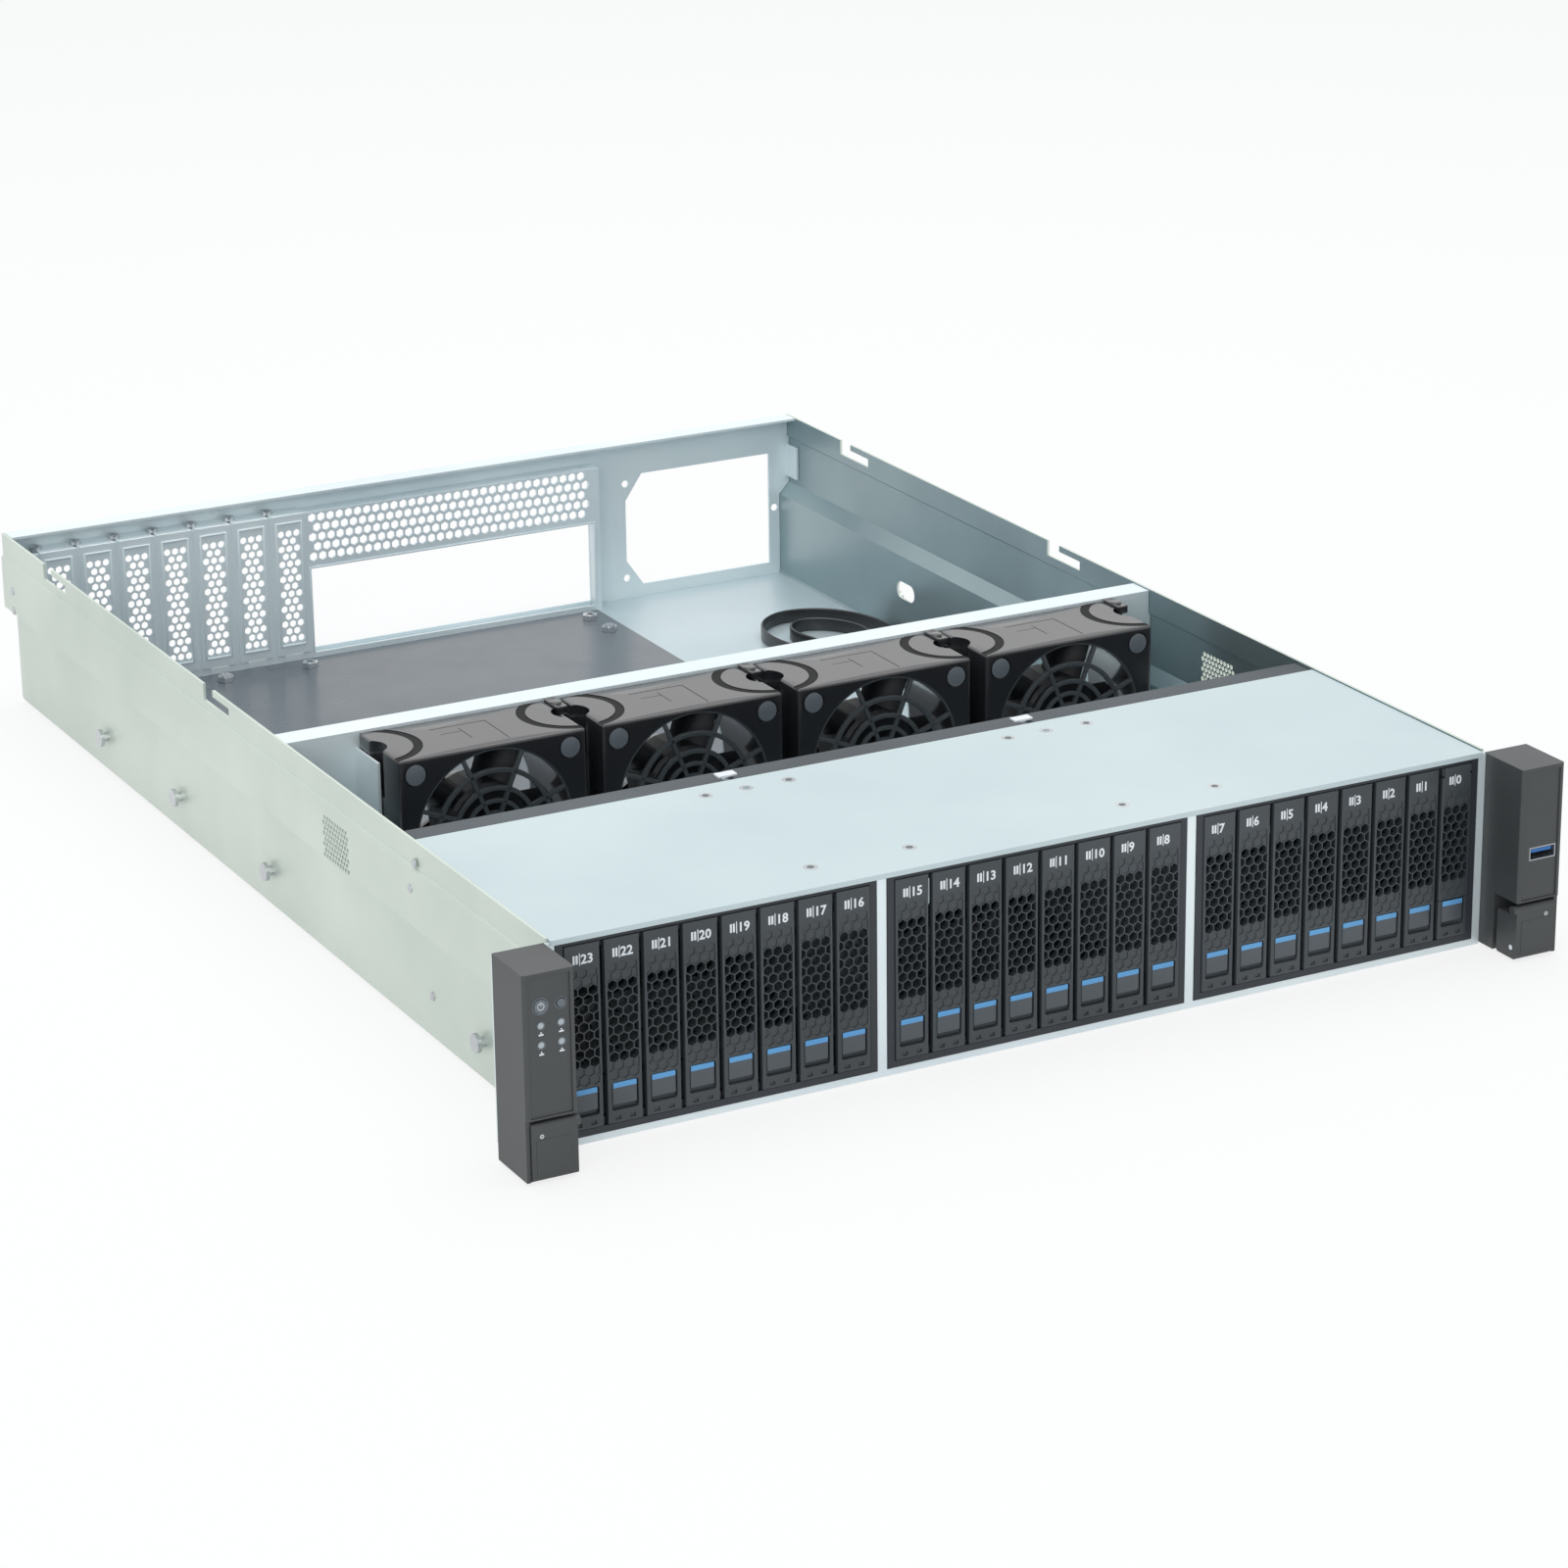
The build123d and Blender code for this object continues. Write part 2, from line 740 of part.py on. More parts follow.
# One hot-swap fan module: a bored shell, its guard, the rear struts and the latch arm
with BuildPart() as fan_module:
    with BuildSketch(facing_front(front + module_front)):
        span_rectangle((-half_module, half_module), (module_base, module_top))
        fillet(vertices(), module_corner)
        with Locations((0, fan_axis_height)):
            Circle(fan_bore, mode=Mode.SUBTRACT)
    extrude(amount=-module_depth)
    # Finger holes, shared with the neighbour across the gap between two modules
    with BuildSketch(facing_up(module_top)):
        with Locations((0, module_middle + finger_hole_shift)):
            with GridLocations(fan_pitch, 0, 2, 1):
                RegularPolygon(finger_hole_radius, finger_hole_sides)
    extrude(amount=-finger_hole_depth, mode=Mode.SUBTRACT)
    # Guard: a wire ring, a centre disc and crossing bars in front of the rotor
    with BuildSketch(facing_front(front + module_front + guard_thickness)):
        with Locations((0, fan_axis_height)):
            RegularPolygon(guard_ring, guard_sides)
            RegularPolygon(guard_ring - guard_wire, guard_sides, mode=Mode.SUBTRACT)
            with PolarLocations(0, guard_bars, angular_range=180):
                Rectangle(2 * (fan_bore + guard_wire), guard_wire)
            RegularPolygon(guard_disc, guard_sides)
    extrude(amount=guard_thickness)
    # Rear struts and the seat of the motor
    with BuildSketch(facing_front(module_back)):
        with Locations((0, fan_axis_height)):
            with PolarLocations(0, strut_bars, start_angle=strut_angle, angular_range=180):
                Rectangle(2 * (fan_bore + guard_wire), strut_width)
            RegularPolygon(motor_seat_radius, guard_sides)
    extrude(amount=strut_thickness)
    # Latch arm with the hook that snaps over the fan wall's post
    arm_back = module_back - latch_arm_setback
    with BuildSketch(facing_front(arm_back)):
        with BuildLine():
            hook_base = module_top - latch_arm_drop
            Polyline(
                (half_module, latch_arm_base),
                (half_module + latch_arm_thickness, latch_arm_base),
                (half_module + latch_arm_thickness, hook_base),
                (half_module + latch_arm_reach, hook_base),
                (half_module + latch_arm_reach, module_top + latch_hook_rise),
                (half_module, module_top + latch_hook_rise),
                close=True,
            )
        make_face()
    extrude(amount=latch_arm_width)

# One rotor: a chamfered hub with cambered blades, and the shaft that runs in the motor seat
rotor_back = front + rotor_front + rotor_depth
blade_plane = Plane(
    origin=(hub_radius - blade_root, (front + rotor_front + rotor_back) / 2, fan_axis_height),
    x_dir=(0, cos(radians(blade_pitch_angle)), sin(radians(blade_pitch_angle))),
    z_dir=(1, 0, 0),
)
with BuildPart() as blade:
    with BuildSketch(blade_plane):
        with BuildLine():
            half_chord = blade_chord / 2
            hollow = blade_camber - blade_thickness
            suction = ThreePointArc((-half_chord, 0), (0, blade_camber), (half_chord, 0))
            pressure = ThreePointArc(
                (-half_chord, -blade_thickness), (0, hollow), (half_chord, -blade_thickness)
            )
            Line(suction @ 0, pressure @ 0)
            Line(suction @ 1, pressure @ 1)
        make_face()
    extrude(amount=fan_bore - blade_tip_gap - hub_radius + blade_root)
with BuildPart() as fan_rotor:
    with BuildSketch(facing_front(front + rotor_front)):
        with Locations((0, fan_axis_height)):
            RegularPolygon(hub_radius, hub_sides)
    extrude(amount=-rotor_depth)
    hub_face = fan_rotor.faces().sort_by(Axis.Y)[0]
    chamfer(hub_face.edges(), hub_chamfer)
    spin_axis = Axis((0, front + rotor_front, fan_axis_height), (0, 1, 0))
    for turn in range(blade_count):
        add(blade.part.rotate(spin_axis, turn * 360 / blade_count))
    with BuildSketch(facing_front(rotor_back)):
        with Locations((0, fan_axis_height)):
            Circle(shaft_radius)
    extrude(amount=-(module_back - strut_thickness - rotor_back - pin_gap))
for number, centre in enumerate(fan_centres, start=1):
    save(Pos(centre, 0, 0) * fan_module.part, f"fan_module_{number}")
    save(Pos(centre, 0, 0) * fan_rotor.part, f"fan_rotor_{number}")

# Drive cage: front frame with three windows, floor with two legs, dividers and a rear shelf
with BuildPart() as drive_cage:
    with BuildSketch(facing_front(front)):
        span_rectangle((ear_gap - ear_inner, ear_inner - ear_gap), (0, cover_under))
        with GridLocations(group_pitch, 0, group_count, 1):
            with Locations((0, window_middle)):
                Rectangle(window_width, window_top - frame_sill, mode=Mode.SUBTRACT)
    extrude(amount=-sheet)
    with BuildSketch(facing_right(0)):
        with BuildLine():
            leg_front, leg_back = [front + depth for depth in cage_leg_depths]
            cage_floor_base = cage_floor_top - sheet
            Polyline(
                (frame_back, cage_floor_top),
                (cage_back, cage_floor_top),
                (cage_back, cage_floor_base),
                (leg_back + sheet, cage_floor_base),
                (leg_back + sheet, floor_top),
                (leg_back, floor_top),
                (leg_back, cage_floor_base),
                (leg_front + sheet, cage_floor_base),
                (leg_front + sheet, floor_top),
                (leg_front, floor_top),
                (leg_front, cage_floor_base),
                (frame_back, cage_floor_base),
                close=True,
            )
        make_face()
    extrude(amount=floor_half, both=True)
    with BuildSketch(facing_front(frame_back)):
        with GridLocations(group_pitch, 0, group_count - 1, 1):
            span_rectangle((-sheet, sheet), (cage_floor_top, cover_under))
    extrude(amount=-(cage_depth - sheet))
    with BuildSketch(facing_right(0)):
        span_rectangle((cage_back - shelf_root, front + shelf_depth), (shelf_top - sheet, shelf_top))
    extrude(amount=band_half, both=True)
save(drive_cage.part, "drive_cage")

# Cage cover: a flat sheet with a front hem and a bend down to the rear shelf
with BuildPart() as cage_cover:
    with BuildSketch(facing_right(0)):
        with BuildLine():
            Polyline(
                (front - cover_lip, cover_top),
                (front + cover_depth, cover_top),
                (front + cover_depth, shelf_top),
                (front + cover_depth - sheet, shelf_top),
                (front + cover_depth - sheet, cover_under),
                (front, cover_under),
                (front, cover_top - cover_hem),
                (front - cover_lip, cover_top - cover_hem),
                close=True,
            )
        make_face()
    extrude(amount=cover_half, both=True)
    with BuildSketch(facing_up(cover_top)):
        with GridLocations(group_pitch, 0, group_count - 1, 1):
            with Locations(
                *[(offset, front + depth) for depth, offsets in cover_hole_rows for offset in offsets]
            ):
                RegularPolygon(cover_hole_radius, cover_hole_sides)
    extrude(amount=-sheet, mode=Mode.SUBTRACT)
save(cage_cover.part, "cage_cover")

# Gasket strips on the rear shelf, parted over the dividers
with BuildPart() as gasket_strips:
    with BuildSketch(facing_up(shelf_top)):
        strip_span = (front + cover_depth + gasket_gap, front + shelf_depth - gasket_gap)
        span_rectangle((-cover_half, cover_half), strip_span)
        with GridLocations(group_pitch, 0, group_count - 1, 1):
            span_rectangle((-gasket_notch, gasket_notch), strip_span, mode=Mode.SUBTRACT)
    extrude(amount=gasket_thickness)
save(gasket_strips.part, "gasket_strips")

# Backplane: board with air slots between the bays and one drive connector to each bay
with BuildPart() as backplane:
    board_half = panel_half - backplane_margin
    board_back = cage_back + backplane_thickness
    with BuildSketch(facing_front(board_back)):
        span_rectangle((-board_half, board_half), (cage_floor_top, shelf_top - sheet - seam))
        with Locations((0, (bay_floor + liner_top) / 2)):
            with GridLocations(group_pitch, 0, group_count, 1):
                with GridLocations(carrier_pitch, 0, bays_per_group - 1, 1):
                    Rectangle(
                        air_slot_width, carrier_height - 2 * air_slot_margin, mode=Mode.SUBTRACT
                    )
    extrude(amount=backplane_thickness)
    with BuildSketch(facing_front(cage_back)):
        with GridLocations(group_pitch, 0, group_count, 1):
            with GridLocations(carrier_pitch, 0, bays_per_group, 1):
                span_rectangle((-connector_width / 2, connector_width / 2), (connector_base, grille_top))
    extrude(amount=cage_depth - drive_back - seam)
    with BuildSketch(facing_front(board_back)):
        with Locations((0, rear_socket_height)):
            with GridLocations(rear_socket_pitch, 0, rear_socket_count, 1):
                Rectangle(rear_socket_width, rear_socket_depth)
    extrude(amount=-rear_socket_depth)
save(backplane.part, "backplane")

# Bay liners: a moulded rim round each window, with a ribbed floor and a ribbed roof behind it
with BuildPart() as bay_liners:
    with BuildSketch(facing_front(frame_back)):
        with GridLocations(group_pitch, 0, group_count, 1):
            with Locations((0, window_middle)):
                Rectangle(window_width - 2 * seam, window_top - frame_sill - 2 * seam)
            span_rectangle(
                (-group_span / 2 - slide_gap, group_span / 2 + slide_gap),
                (bay_floor, liner_top),
                mode=Mode.SUBTRACT,
            )
    extrude(amount=sheet + liner_proud)
    with BuildSketch(facing_front(frame_back)):
        with GridLocations(group_pitch, 0, group_count, 1):
            liner_half = window_half - liner_floor_inset
            span_rectangle((-liner_half, liner_half), (cage_floor_top, bay_floor))
            span_rectangle((-liner_half, liner_half), (liner_top, liner_top + liner_floor))
            with GridLocations(carrier_pitch, 0, bays_per_group - 1, 1):
                span_rectangle((-rib_width / 2, rib_width / 2), (cage_floor_top, bay_floor + rib_height))
                span_rectangle((-rib_width / 2, rib_width / 2), (liner_top - rib_height, liner_top))
    extrude(amount=-(liner_depth - sheet))
save(bay_liners.part, "bay_liners")

# The vent field of a carrier, a tall opening with pointed ends, drawn once for all faces
with BuildSketch(facing_front(0)) as grille_field:
    with BuildLine():
        Polyline(
            (-grille_half, grille_base + grille_point),
            (0, grille_base),
            (grille_half, grille_base + grille_point),
            (grille_half, grille_top - grille_point),
            (0, grille_top),
            (-grille_half, grille_top - grille_point),
            close=True,
        )
    make_face()

# Carrier rails that hold the drive by its two long edges
carrier_front = front - bezel_proud
bezel_back = carrier_front + bezel_thickness
catch_back = carrier_front + catch_depth


def rail_pair(start):
    """The lower and the upper rail of a carrier, from the back of its face to the connector."""
    with BuildPart() as rails:
        with BuildSketch(facing_front(start)):
            with Locations((0, carrier_middle)):
                with GridLocations(0, carrier_height - rail_height, 1, 2):
                    Rectangle(rail_width, rail_height)
        extrude(amount=-(front + drive_back - start))
    return rails.part.solids()


# Bezel of an ordinary carrier, with its vent field and the pocket of its button
with BuildPart() as carrier_bezel:
    with BuildSketch(facing_front(carrier_front)):
        with Locations((0, carrier_middle)):
            Rectangle(carrier_width, carrier_height)
        add(grille_field.sketch_local, mode=Mode.SUBTRACT)
    extrude(amount=-bezel_thickness)
    with BuildSketch(facing_front(carrier_front)):
        span_rectangle((-button_width / 2, button_width / 2), (pocket_base, button_top))
    extrude(amount=-button_depth, mode=Mode.SUBTRACT)

# Release button as it sits in a carrier
with BuildPart() as carrier_button:
    with BuildSketch(facing_front(carrier_front)):
        span_rectangle((-button_width / 2, button_width / 2), (button_base, button_top))
    extrude(amount=-button_depth)
bay_centres = [
    (group - (group_count - 1) / 2) * group_pitch + (bay - (bays_per_group - 1) / 2) * carrier_pitch
    for group in range(group_count)
    for bay in range(bays_per_group)
]
for index, centre in enumerate(bay_centres[:-1]):
    pieces = [carrier_bezel.part, carrier_button.part, *rail_pair(bezel_back)]
    carrier_number = len(bay_centres) - 1 - index
    save(Compound([Pos(centre, 0, 0) * piece for piece in pieces]), f"carrier_{carrier_number:02d}")

# The last carrier is split up: catch block, back frame and cheeks with the lever's hinge holes
hinge_y = carrier_front + hinge_drop
hinge_z = carrier_top - hinge_drop
with BuildPart() as carrier_frame:
    with BuildSketch(facing_front(carrier_front)):
        span_rectangle((-carrier_width / 2, carrier_width / 2), (carrier_base, lever_base - seam))
        with GridLocations(carrier_width - cheek_thickness, 0, 2, 1):
            span_rectangle(
                (-cheek_thickness / 2, cheek_thickness / 2), (carrier_top - cheek_height, carrier_top)
            )
    extrude(amount=-catch_depth)
    with BuildSketch(facing_front(bezel_back + seam)):
        with Locations((0, carrier_middle)):
            Rectangle(rail_width, carrier_height)
        add(grille_field.sketch_local, mode=Mode.SUBTRACT)
    extrude(amount=-(catch_depth - bezel_thickness - seam))
    # Pocket deep enough for the button's travel
    with BuildSketch(facing_front(carrier_front)):
        span_rectangle(
            (-button_width / 2 - button_gap, button_width / 2 + button_gap),
            (pocket_base, button_top + button_gap),
        )
    extrude(amount=-(button_depth + button_travel + button_gap), mode=Mode.SUBTRACT)
    with BuildSketch(facing_right(carrier_width / 2)):
        with Locations((hinge_y, hinge_z)):
            Circle(hinge_pin_radius + pin_gap)
    extrude(amount=-carrier_width, mode=Mode.SUBTRACT)
last_x = bay_centres[-1]
last_pieces = [carrier_frame.part, *rail_pair(catch_back)]
save(Compound([Pos(last_x, 0, 0) * piece for piece in last_pieces]), "carrier_00")

# The lever swings up on two stub pins at its rounded top edge, clear of the cheeks
with BuildPart() as lever:
    cheek_sweep = hypot(hinge_drop, cheek_height - hinge_drop) + seam
    tongue_half = carrier_width / 2 - cheek_thickness - button_gap
    with BuildSketch(facing_front(carrier_front)):
        span_rectangle((-carrier_width / 2, carrier_width / 2), (lever_base, hinge_z - cheek_sweep))
        span_rectangle((-tongue_half, tongue_half), (lever_base, carrier_top))
        add(grille_field.sketch_local, mode=Mode.SUBTRACT)
    extrude(amount=-bezel_thickness)
    top_edges = lever.edges().filter_by(Axis.X).group_by(Axis.Z)[-1]
    fillet(top_edges, lever_round)
    with BuildSketch(facing_right(-carrier_width / 2 + pin_gap)):
        with Locations((hinge_y, hinge_z)):
            Circle(hinge_pin_radius)
    extrude(amount=carrier_width - 2 * pin_gap)
save(Pos(last_x, 0, 0) * lever.part, "lever_00")
save(Pos(last_x, 0, 0) * carrier_button.part, "button_00")

# Ear housing: a moulded shell open at the back, over a foot with the recess of the latch
with BuildPart() as ear_shell:
    with BuildSketch(facing_front(ear_front)):
        span_rectangle((ear_inner, ear_outer), (latch_ceiling, ear_top))
    extrude(amount=-(ear_reach + sheet))
    soft = ear_shell.edges().filter_by(Axis.Z).group_by(Axis.Y)[0]
    fillet(soft, ear_corner)
    offset(amount=-ear_wall, openings=ear_shell.faces().sort_by(Axis.Y)[-1])
    with BuildSketch(facing_front(ear_front)):
        span_rectangle(
            (ear_inner + fascia_edge + ear_corner, ear_outer - ear_corner - fascia_edge),
            (latch_ceiling + fascia_edge, ear_top - ear_wall),
        )
    extrude(amount=-fascia_recess, mode=Mode.SUBTRACT)
    with BuildSketch(facing_up(ear_base)):
        with BuildLine():
            Polyline(
                (ear_outer, ear_front + ear_corner),
                (ear_outer, frame_back),
                (ear_inner, frame_back),
                (ear_inner, ear_front + latch_recess),
                (ear_outer - ear_wall, ear_front + latch_recess),
                (ear_outer - ear_wall, ear_front + ear_corner),
                close=True,
            )
        make_face()
    extrude(amount=latch_ceiling + ear_wall - ear_base)
    with BuildSketch(facing_front(ear_front)):
        with Locations((rack_hole_x, rack_hole_height)):
            Circle(rack_hole_radius)
    extrude(amount=-(ear_reach + sheet), mode=Mode.SUBTRACT)
    with BuildSketch(facing_right(ear_outer - ear_wall)):
        with Locations((latch_pin_y, latch_pin_height)):
            Circle(latch_pin_radius)
    extrude(amount=latch_pin_seat, mode=Mode.SUBTRACT)

# Left housing: holes for two buttons and four lenses
with BuildPart() as left_ear:
    add(ear_shell.part.mirror(Plane.YZ))
    with BuildSketch(facing_front(ear_front)):
        with Locations((-ear_outer + button_column, button_row)):
            Circle(power_button_radius + button_gap)
        with Locations((-ear_outer + lens_column, button_row)):
            RegularPolygon(reset_button_radius + 2 * button_gap, lens_sides)
        with Locations(*lens_places):
            RegularPolygon(lens_radius, lens_sides)
    extrude(amount=-ear_wall, mode=Mode.SUBTRACT)
save(left_ear.part, "left_ear_housing")

# Right housing: aperture for the USB socket
usb_place = ((ear_inner + ear_outer) / 2 + usb_shift, body_height - usb_drop)
with BuildPart() as right_ear:
    add(ear_shell.part)
    with BuildSketch(facing_front(ear_front)):
        with Locations(usb_place):
            Rectangle(usb_width, usb_height)
    extrude(amount=-ear_wall, mode=Mode.SUBTRACT)
save(right_ear.part, "right_ear_housing")

# Steel brackets behind the housings, and the pins the ear latches turn on
with BuildPart() as ear_brackets:
    bracket_height = bracket_top - bracket_base
    with BuildSketch(facing_up(bracket_base)):
        # The rack face stands a little proud of the part that meets the body
        span_rectangle((half_lower, ear_outer - seam), (frame_back, frame_back + sheet - seam))
        span_rectangle((half_body + seam, ear_outer - seam), (frame_back, frame_back + sheet))
    extrude(amount=bracket_height)
    with BuildSketch(facing_right(half_body - 2 * sheet)):
        flange_base, flange_top = [body_height - drop for drop in bracket_flange_drops]
        span_rectangle((frame_back, frame_back + bracket_flange), (flange_base, flange_top))
    extrude(amount=sheet - seam)
    with BuildSketch(facing_front(frame_back)):
        with Locations((rack_hole_x, rack_hole_height)):
            Circle(rack_hole_radius)
    extrude(amount=-sheet, mode=Mode.SUBTRACT)
    with BuildSketch(facing_right(ear_inner)):
        with Locations((latch_pin_y, latch_pin_height)):
            Circle(latch_pin_radius)
    extrude(amount=ear_outer - ear_wall + latch_pin_seat - ear_inner)
    mirror(about=Plane.YZ)
save(ear_brackets.part, "ear_brackets")

# Ear latch: a block that tips forward on its pin, lifted by the bar above it
with BuildPart() as ear_latch:
    latch_width = ear_outer - ear_wall - ear_inner - 2 * seam
    with BuildSketch(facing_right(ear_inner + seam)):
        span_rectangle(
            (ear_front + seam, ear_front + latch_depth), (ear_base + seam, latch_block_top)
        )
        fillet(vertices(), latch_corner)
        span_rectangle(
            (ear_front + seam, ear_front + latch_web),
            (latch_block_top - latch_corner, latch_bar_height),
        )
        with Locations((latch_pin_y, latch_pin_height)):
            Circle(latch_pin_radius + pin_gap, mode=Mode.SUBTRACT)
    extrude(amount=latch_width)
    with BuildSketch(facing_right(ear_inner - latch_bar_overhang)):
        with Locations((ear_front + latch_bar_radius, latch_bar_height)):
            RegularPolygon(latch_bar_radius, guard_sides)
    extrude(amount=latch_bar_overhang + seam + latch_width)
save(ear_latch.part, "right_ear_latch")
save(ear_latch.part.mirror(Plane.YZ), "left_ear_latch")

# Panel buttons: a cap, with a flange behind the fascia that keeps it in
for name, radius, column in (
    ("power_button", power_button_radius, button_column),
    ("reset_button", reset_button_radius, lens_column),
):
    with BuildPart() as panel_button:
        with BuildSketch(facing_front(ear_front)):
            with Locations((-ear_outer + column, button_row)):
                Circle(radius)
        extrude(amount=-panel_button_length)
        with BuildSketch(facing_front(fascia_back)):
            with Locations((-ear_outer + column, button_row)):
                RegularPolygon(radius + panel_button_flange, lens_sides)
        extrude(amount=-panel_button_flange)
    save(panel_button.part, name)

# Indicator lenses, flush in the fascia
with BuildPart() as indicator_lenses:
    with BuildSketch(facing_front(fascia_front)):
        with Locations(*lens_places):
            RegularPolygon(lens_radius, lens_sides)
    extrude(amount=-lens_depth)
save(indicator_lenses.part, "indicator_lenses")

# USB socket: a thin shell, open at the front, round a tongue
with BuildPart() as usb_socket:
    with BuildSketch(facing_front(fascia_front)):
        with Locations(usb_place):
            Rectangle(usb_width, usb_height)
    extrude(amount=-usb_depth)
    offset(amount=-usb_wall, openings=usb_socket.faces().sort_by(Axis.Y)[0])
    with BuildSketch(facing_front(fascia_front + usb_depth)):
        with Locations(usb_place):
            with Locations((0, usb_tongue_rise)):
                Rectangle(usb_tongue_width, usb_tongue_thickness)
    extrude(amount=usb_tongue_length)
save(usb_socket.part, "usb_socket")

# Ribbon cable on its edge: a hank of two loops, and the tail that leads to the fan wall
with BuildPart() as cable_coil:
    with BuildSketch(facing_up(floor_top)):
        with Locations(coil_centre):
            Ellipse(coil_half_width, coil_half_length)
    extrude(amount=ribbon_width)
save(cable_coil.part, "cable_coil")
runs = [Vector(*end) - Vector(*start) for start, end in zip(tail_points, tail_points[1:])]
turns = [first.get_angle(second) for first, second in zip(runs, runs[1:])]
tail_radii = [
    arc_share * min(first.length, second.length) / tan(radians(turn / 2))
    for first, second, turn in zip(runs, runs[1:], turns)
]
print("cable radii", [round(radius) for radius in tail_radii])
with BuildPart() as cable_tail:
    with BuildSketch(facing_up(floor_top)):
        with BuildLine():
            tail_line = FilletPolyline(*tail_points, radius=tail_radii)
        trace(tail_line, line_width=ribbon_thickness)
    extrude(amount=ribbon_width)
save(cable_tail.part, "cable_tail")

# Connector at the free end of the ribbon
with BuildPart() as cable_plug:
    coil_x, coil_y = coil_centre
    plug_middle = coil_y - coil_half_length - cable_plug_length / 2
    with BuildSketch(facing_up(floor_top)):
        with Locations((coil_x, plug_middle)):
            Rectangle(cable_plug_width, cable_plug_length)
    extrude(amount=cable_plug_height)
    plug_rim = cable_plug.edges().filter_by(Axis.Y)
    fillet(plug_rim, cable_plug_corner)
save(cable_plug.part, "cable_plug")
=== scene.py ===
# %% [markdown]
# # A rackmount server chassis, finished for a photograph
#
# The chassis comes in as a fixed frame of exact parts. This script adds what the camera sees:
# fine perforations, moulded grilles, fan guards, small hardware, a ribbon cable and the
# materials. It opens with the frame itself, because every later place is read from it.

# %% Load the frame
import math

import bpy
from mathutils import Matrix, Vector


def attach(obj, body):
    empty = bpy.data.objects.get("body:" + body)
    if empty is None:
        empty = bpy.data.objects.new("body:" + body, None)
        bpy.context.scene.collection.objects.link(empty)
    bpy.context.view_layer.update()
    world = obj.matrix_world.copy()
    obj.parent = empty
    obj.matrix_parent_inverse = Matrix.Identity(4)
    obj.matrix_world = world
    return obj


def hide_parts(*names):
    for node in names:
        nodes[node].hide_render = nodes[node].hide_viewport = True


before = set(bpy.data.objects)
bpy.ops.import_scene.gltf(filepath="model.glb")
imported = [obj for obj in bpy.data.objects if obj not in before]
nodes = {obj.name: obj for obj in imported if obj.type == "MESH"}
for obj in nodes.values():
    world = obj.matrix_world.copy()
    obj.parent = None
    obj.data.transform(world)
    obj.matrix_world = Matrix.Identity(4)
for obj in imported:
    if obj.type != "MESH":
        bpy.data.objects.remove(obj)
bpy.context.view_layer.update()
MM = 0.001
body_front = -299.0

# %% [markdown]
# ## The camera
#
# A long lens from the front left, a little above the open top. The body leans by under a
# degree, as the photograph does, so the camera rolls by the same amount.

# %% Place the camera
camera_data = bpy.data.cameras.new("camera")
camera_data.lens = 108.05
camera_data.sensor_width = 36.0
camera_data.clip_end = 50.0
camera = bpy.data.objects.new("camera", camera_data)
bpy.context.collection.objects.link(camera)
camera.location = (-0.917, -1.8165, 0.7476)
azimuth, elevation, roll = (math.radians(a) for a in (-27.839, 19.719, -0.709))
forward = Vector((
    -math.sin(azimuth) * math.cos(elevation),
    math.cos(azimuth) * math.cos(elevation),
    -math.sin(elevation),
))
level = Vector((math.cos(azimuth), math.sin(azimuth), 0.0))
upward = level.cross(forward)
right_hand = level * math.cos(roll) + upward * math.sin(roll)
up_hand = upward * math.cos(roll) - level * math.sin(roll)
turn = Matrix((right_hand, up_hand, -forward)).transposed()
camera.rotation_euler = turn.to_euler()
bpy.context.scene.camera = camera
print("camera", [round(math.degrees(a), 2) for a in camera.rotation_euler])

# %% [markdown]
# ## The ribbon cable
#
# A flat black ribbon stands on its edge along the right wall, then makes two loose loops on
# the floor and ends in a small plug. It could be a mesh strip, but a curve stays smooth and
# keeps an exact length. The points of its route, across and back from the body's front in
# millimetres, are the control points of one spline. Twist mode Z-Up keeps the strip upright,
# and Extrude and Bevel give it width and rounded edges. A second, bare copy of the curve gives
# its centre line before the ribbon is made a mesh.

# %% Draw the route and make the ribbon
ribbon_route = [
    (203.6, 263.0), (204.0, 324.0), (208.3, 389.0), (209.2, 449.0), (209.3, 480.0), (208.4, 503.0),
    (204.0, 520.0), (195.5, 533.0), (183.0, 541.2), (169.0, 542.6), (157.0, 536.0), (149.2, 524.5),
    (146.6, 511.0), (147.6, 497.0), (151.6, 485.0), (157.6, 478.6), (163.4, 482.0), (165.0, 492.0),
    (161.6, 503.0), (161.0, 514.0), (166.0, 523.0), (175.0, 526.0), (184.6, 521.6), (191.6, 512.4),
    (195.6, 501.0), (194.4, 490.0), (188.0, 483.4), (181.4, 480.6), (178.6, 475.6), (178.6, 471.5),
]
ribbon_height = 4.7
ribbon_data = bpy.data.curves.new("ribbon_cable", "CURVE")
ribbon_data.dimensions = "3D"
ribbon_data.twist_mode = "Z_UP"
ribbon_data.extrude = 2.8 * MM
ribbon_data.bevel_depth = 0.7 * MM
ribbon_data.bevel_resolution = 3
ribbon_data.resolution_u = 8
ribbon_data.use_fill_caps = True
run = ribbon_data.splines.new("NURBS")
run.points.add(len(ribbon_route) - 1)
for point, (across, depth) in zip(run.points, ribbon_route):
    point.co = (across * MM, (body_front + depth) * MM, ribbon_height * MM, 1)
run.order_u = 3
run.use_endpoint_u = True
ribbon = bpy.data.objects.new("ribbon_cable", ribbon_data)
bpy.context.collection.objects.link(ribbon)
line_data = ribbon_data.copy()
line_data.extrude = 0.0
line_data.bevel_depth = 0.0
line = bpy.data.objects.new("ribbon_line", line_data)
bpy.context.collection.objects.link(line)
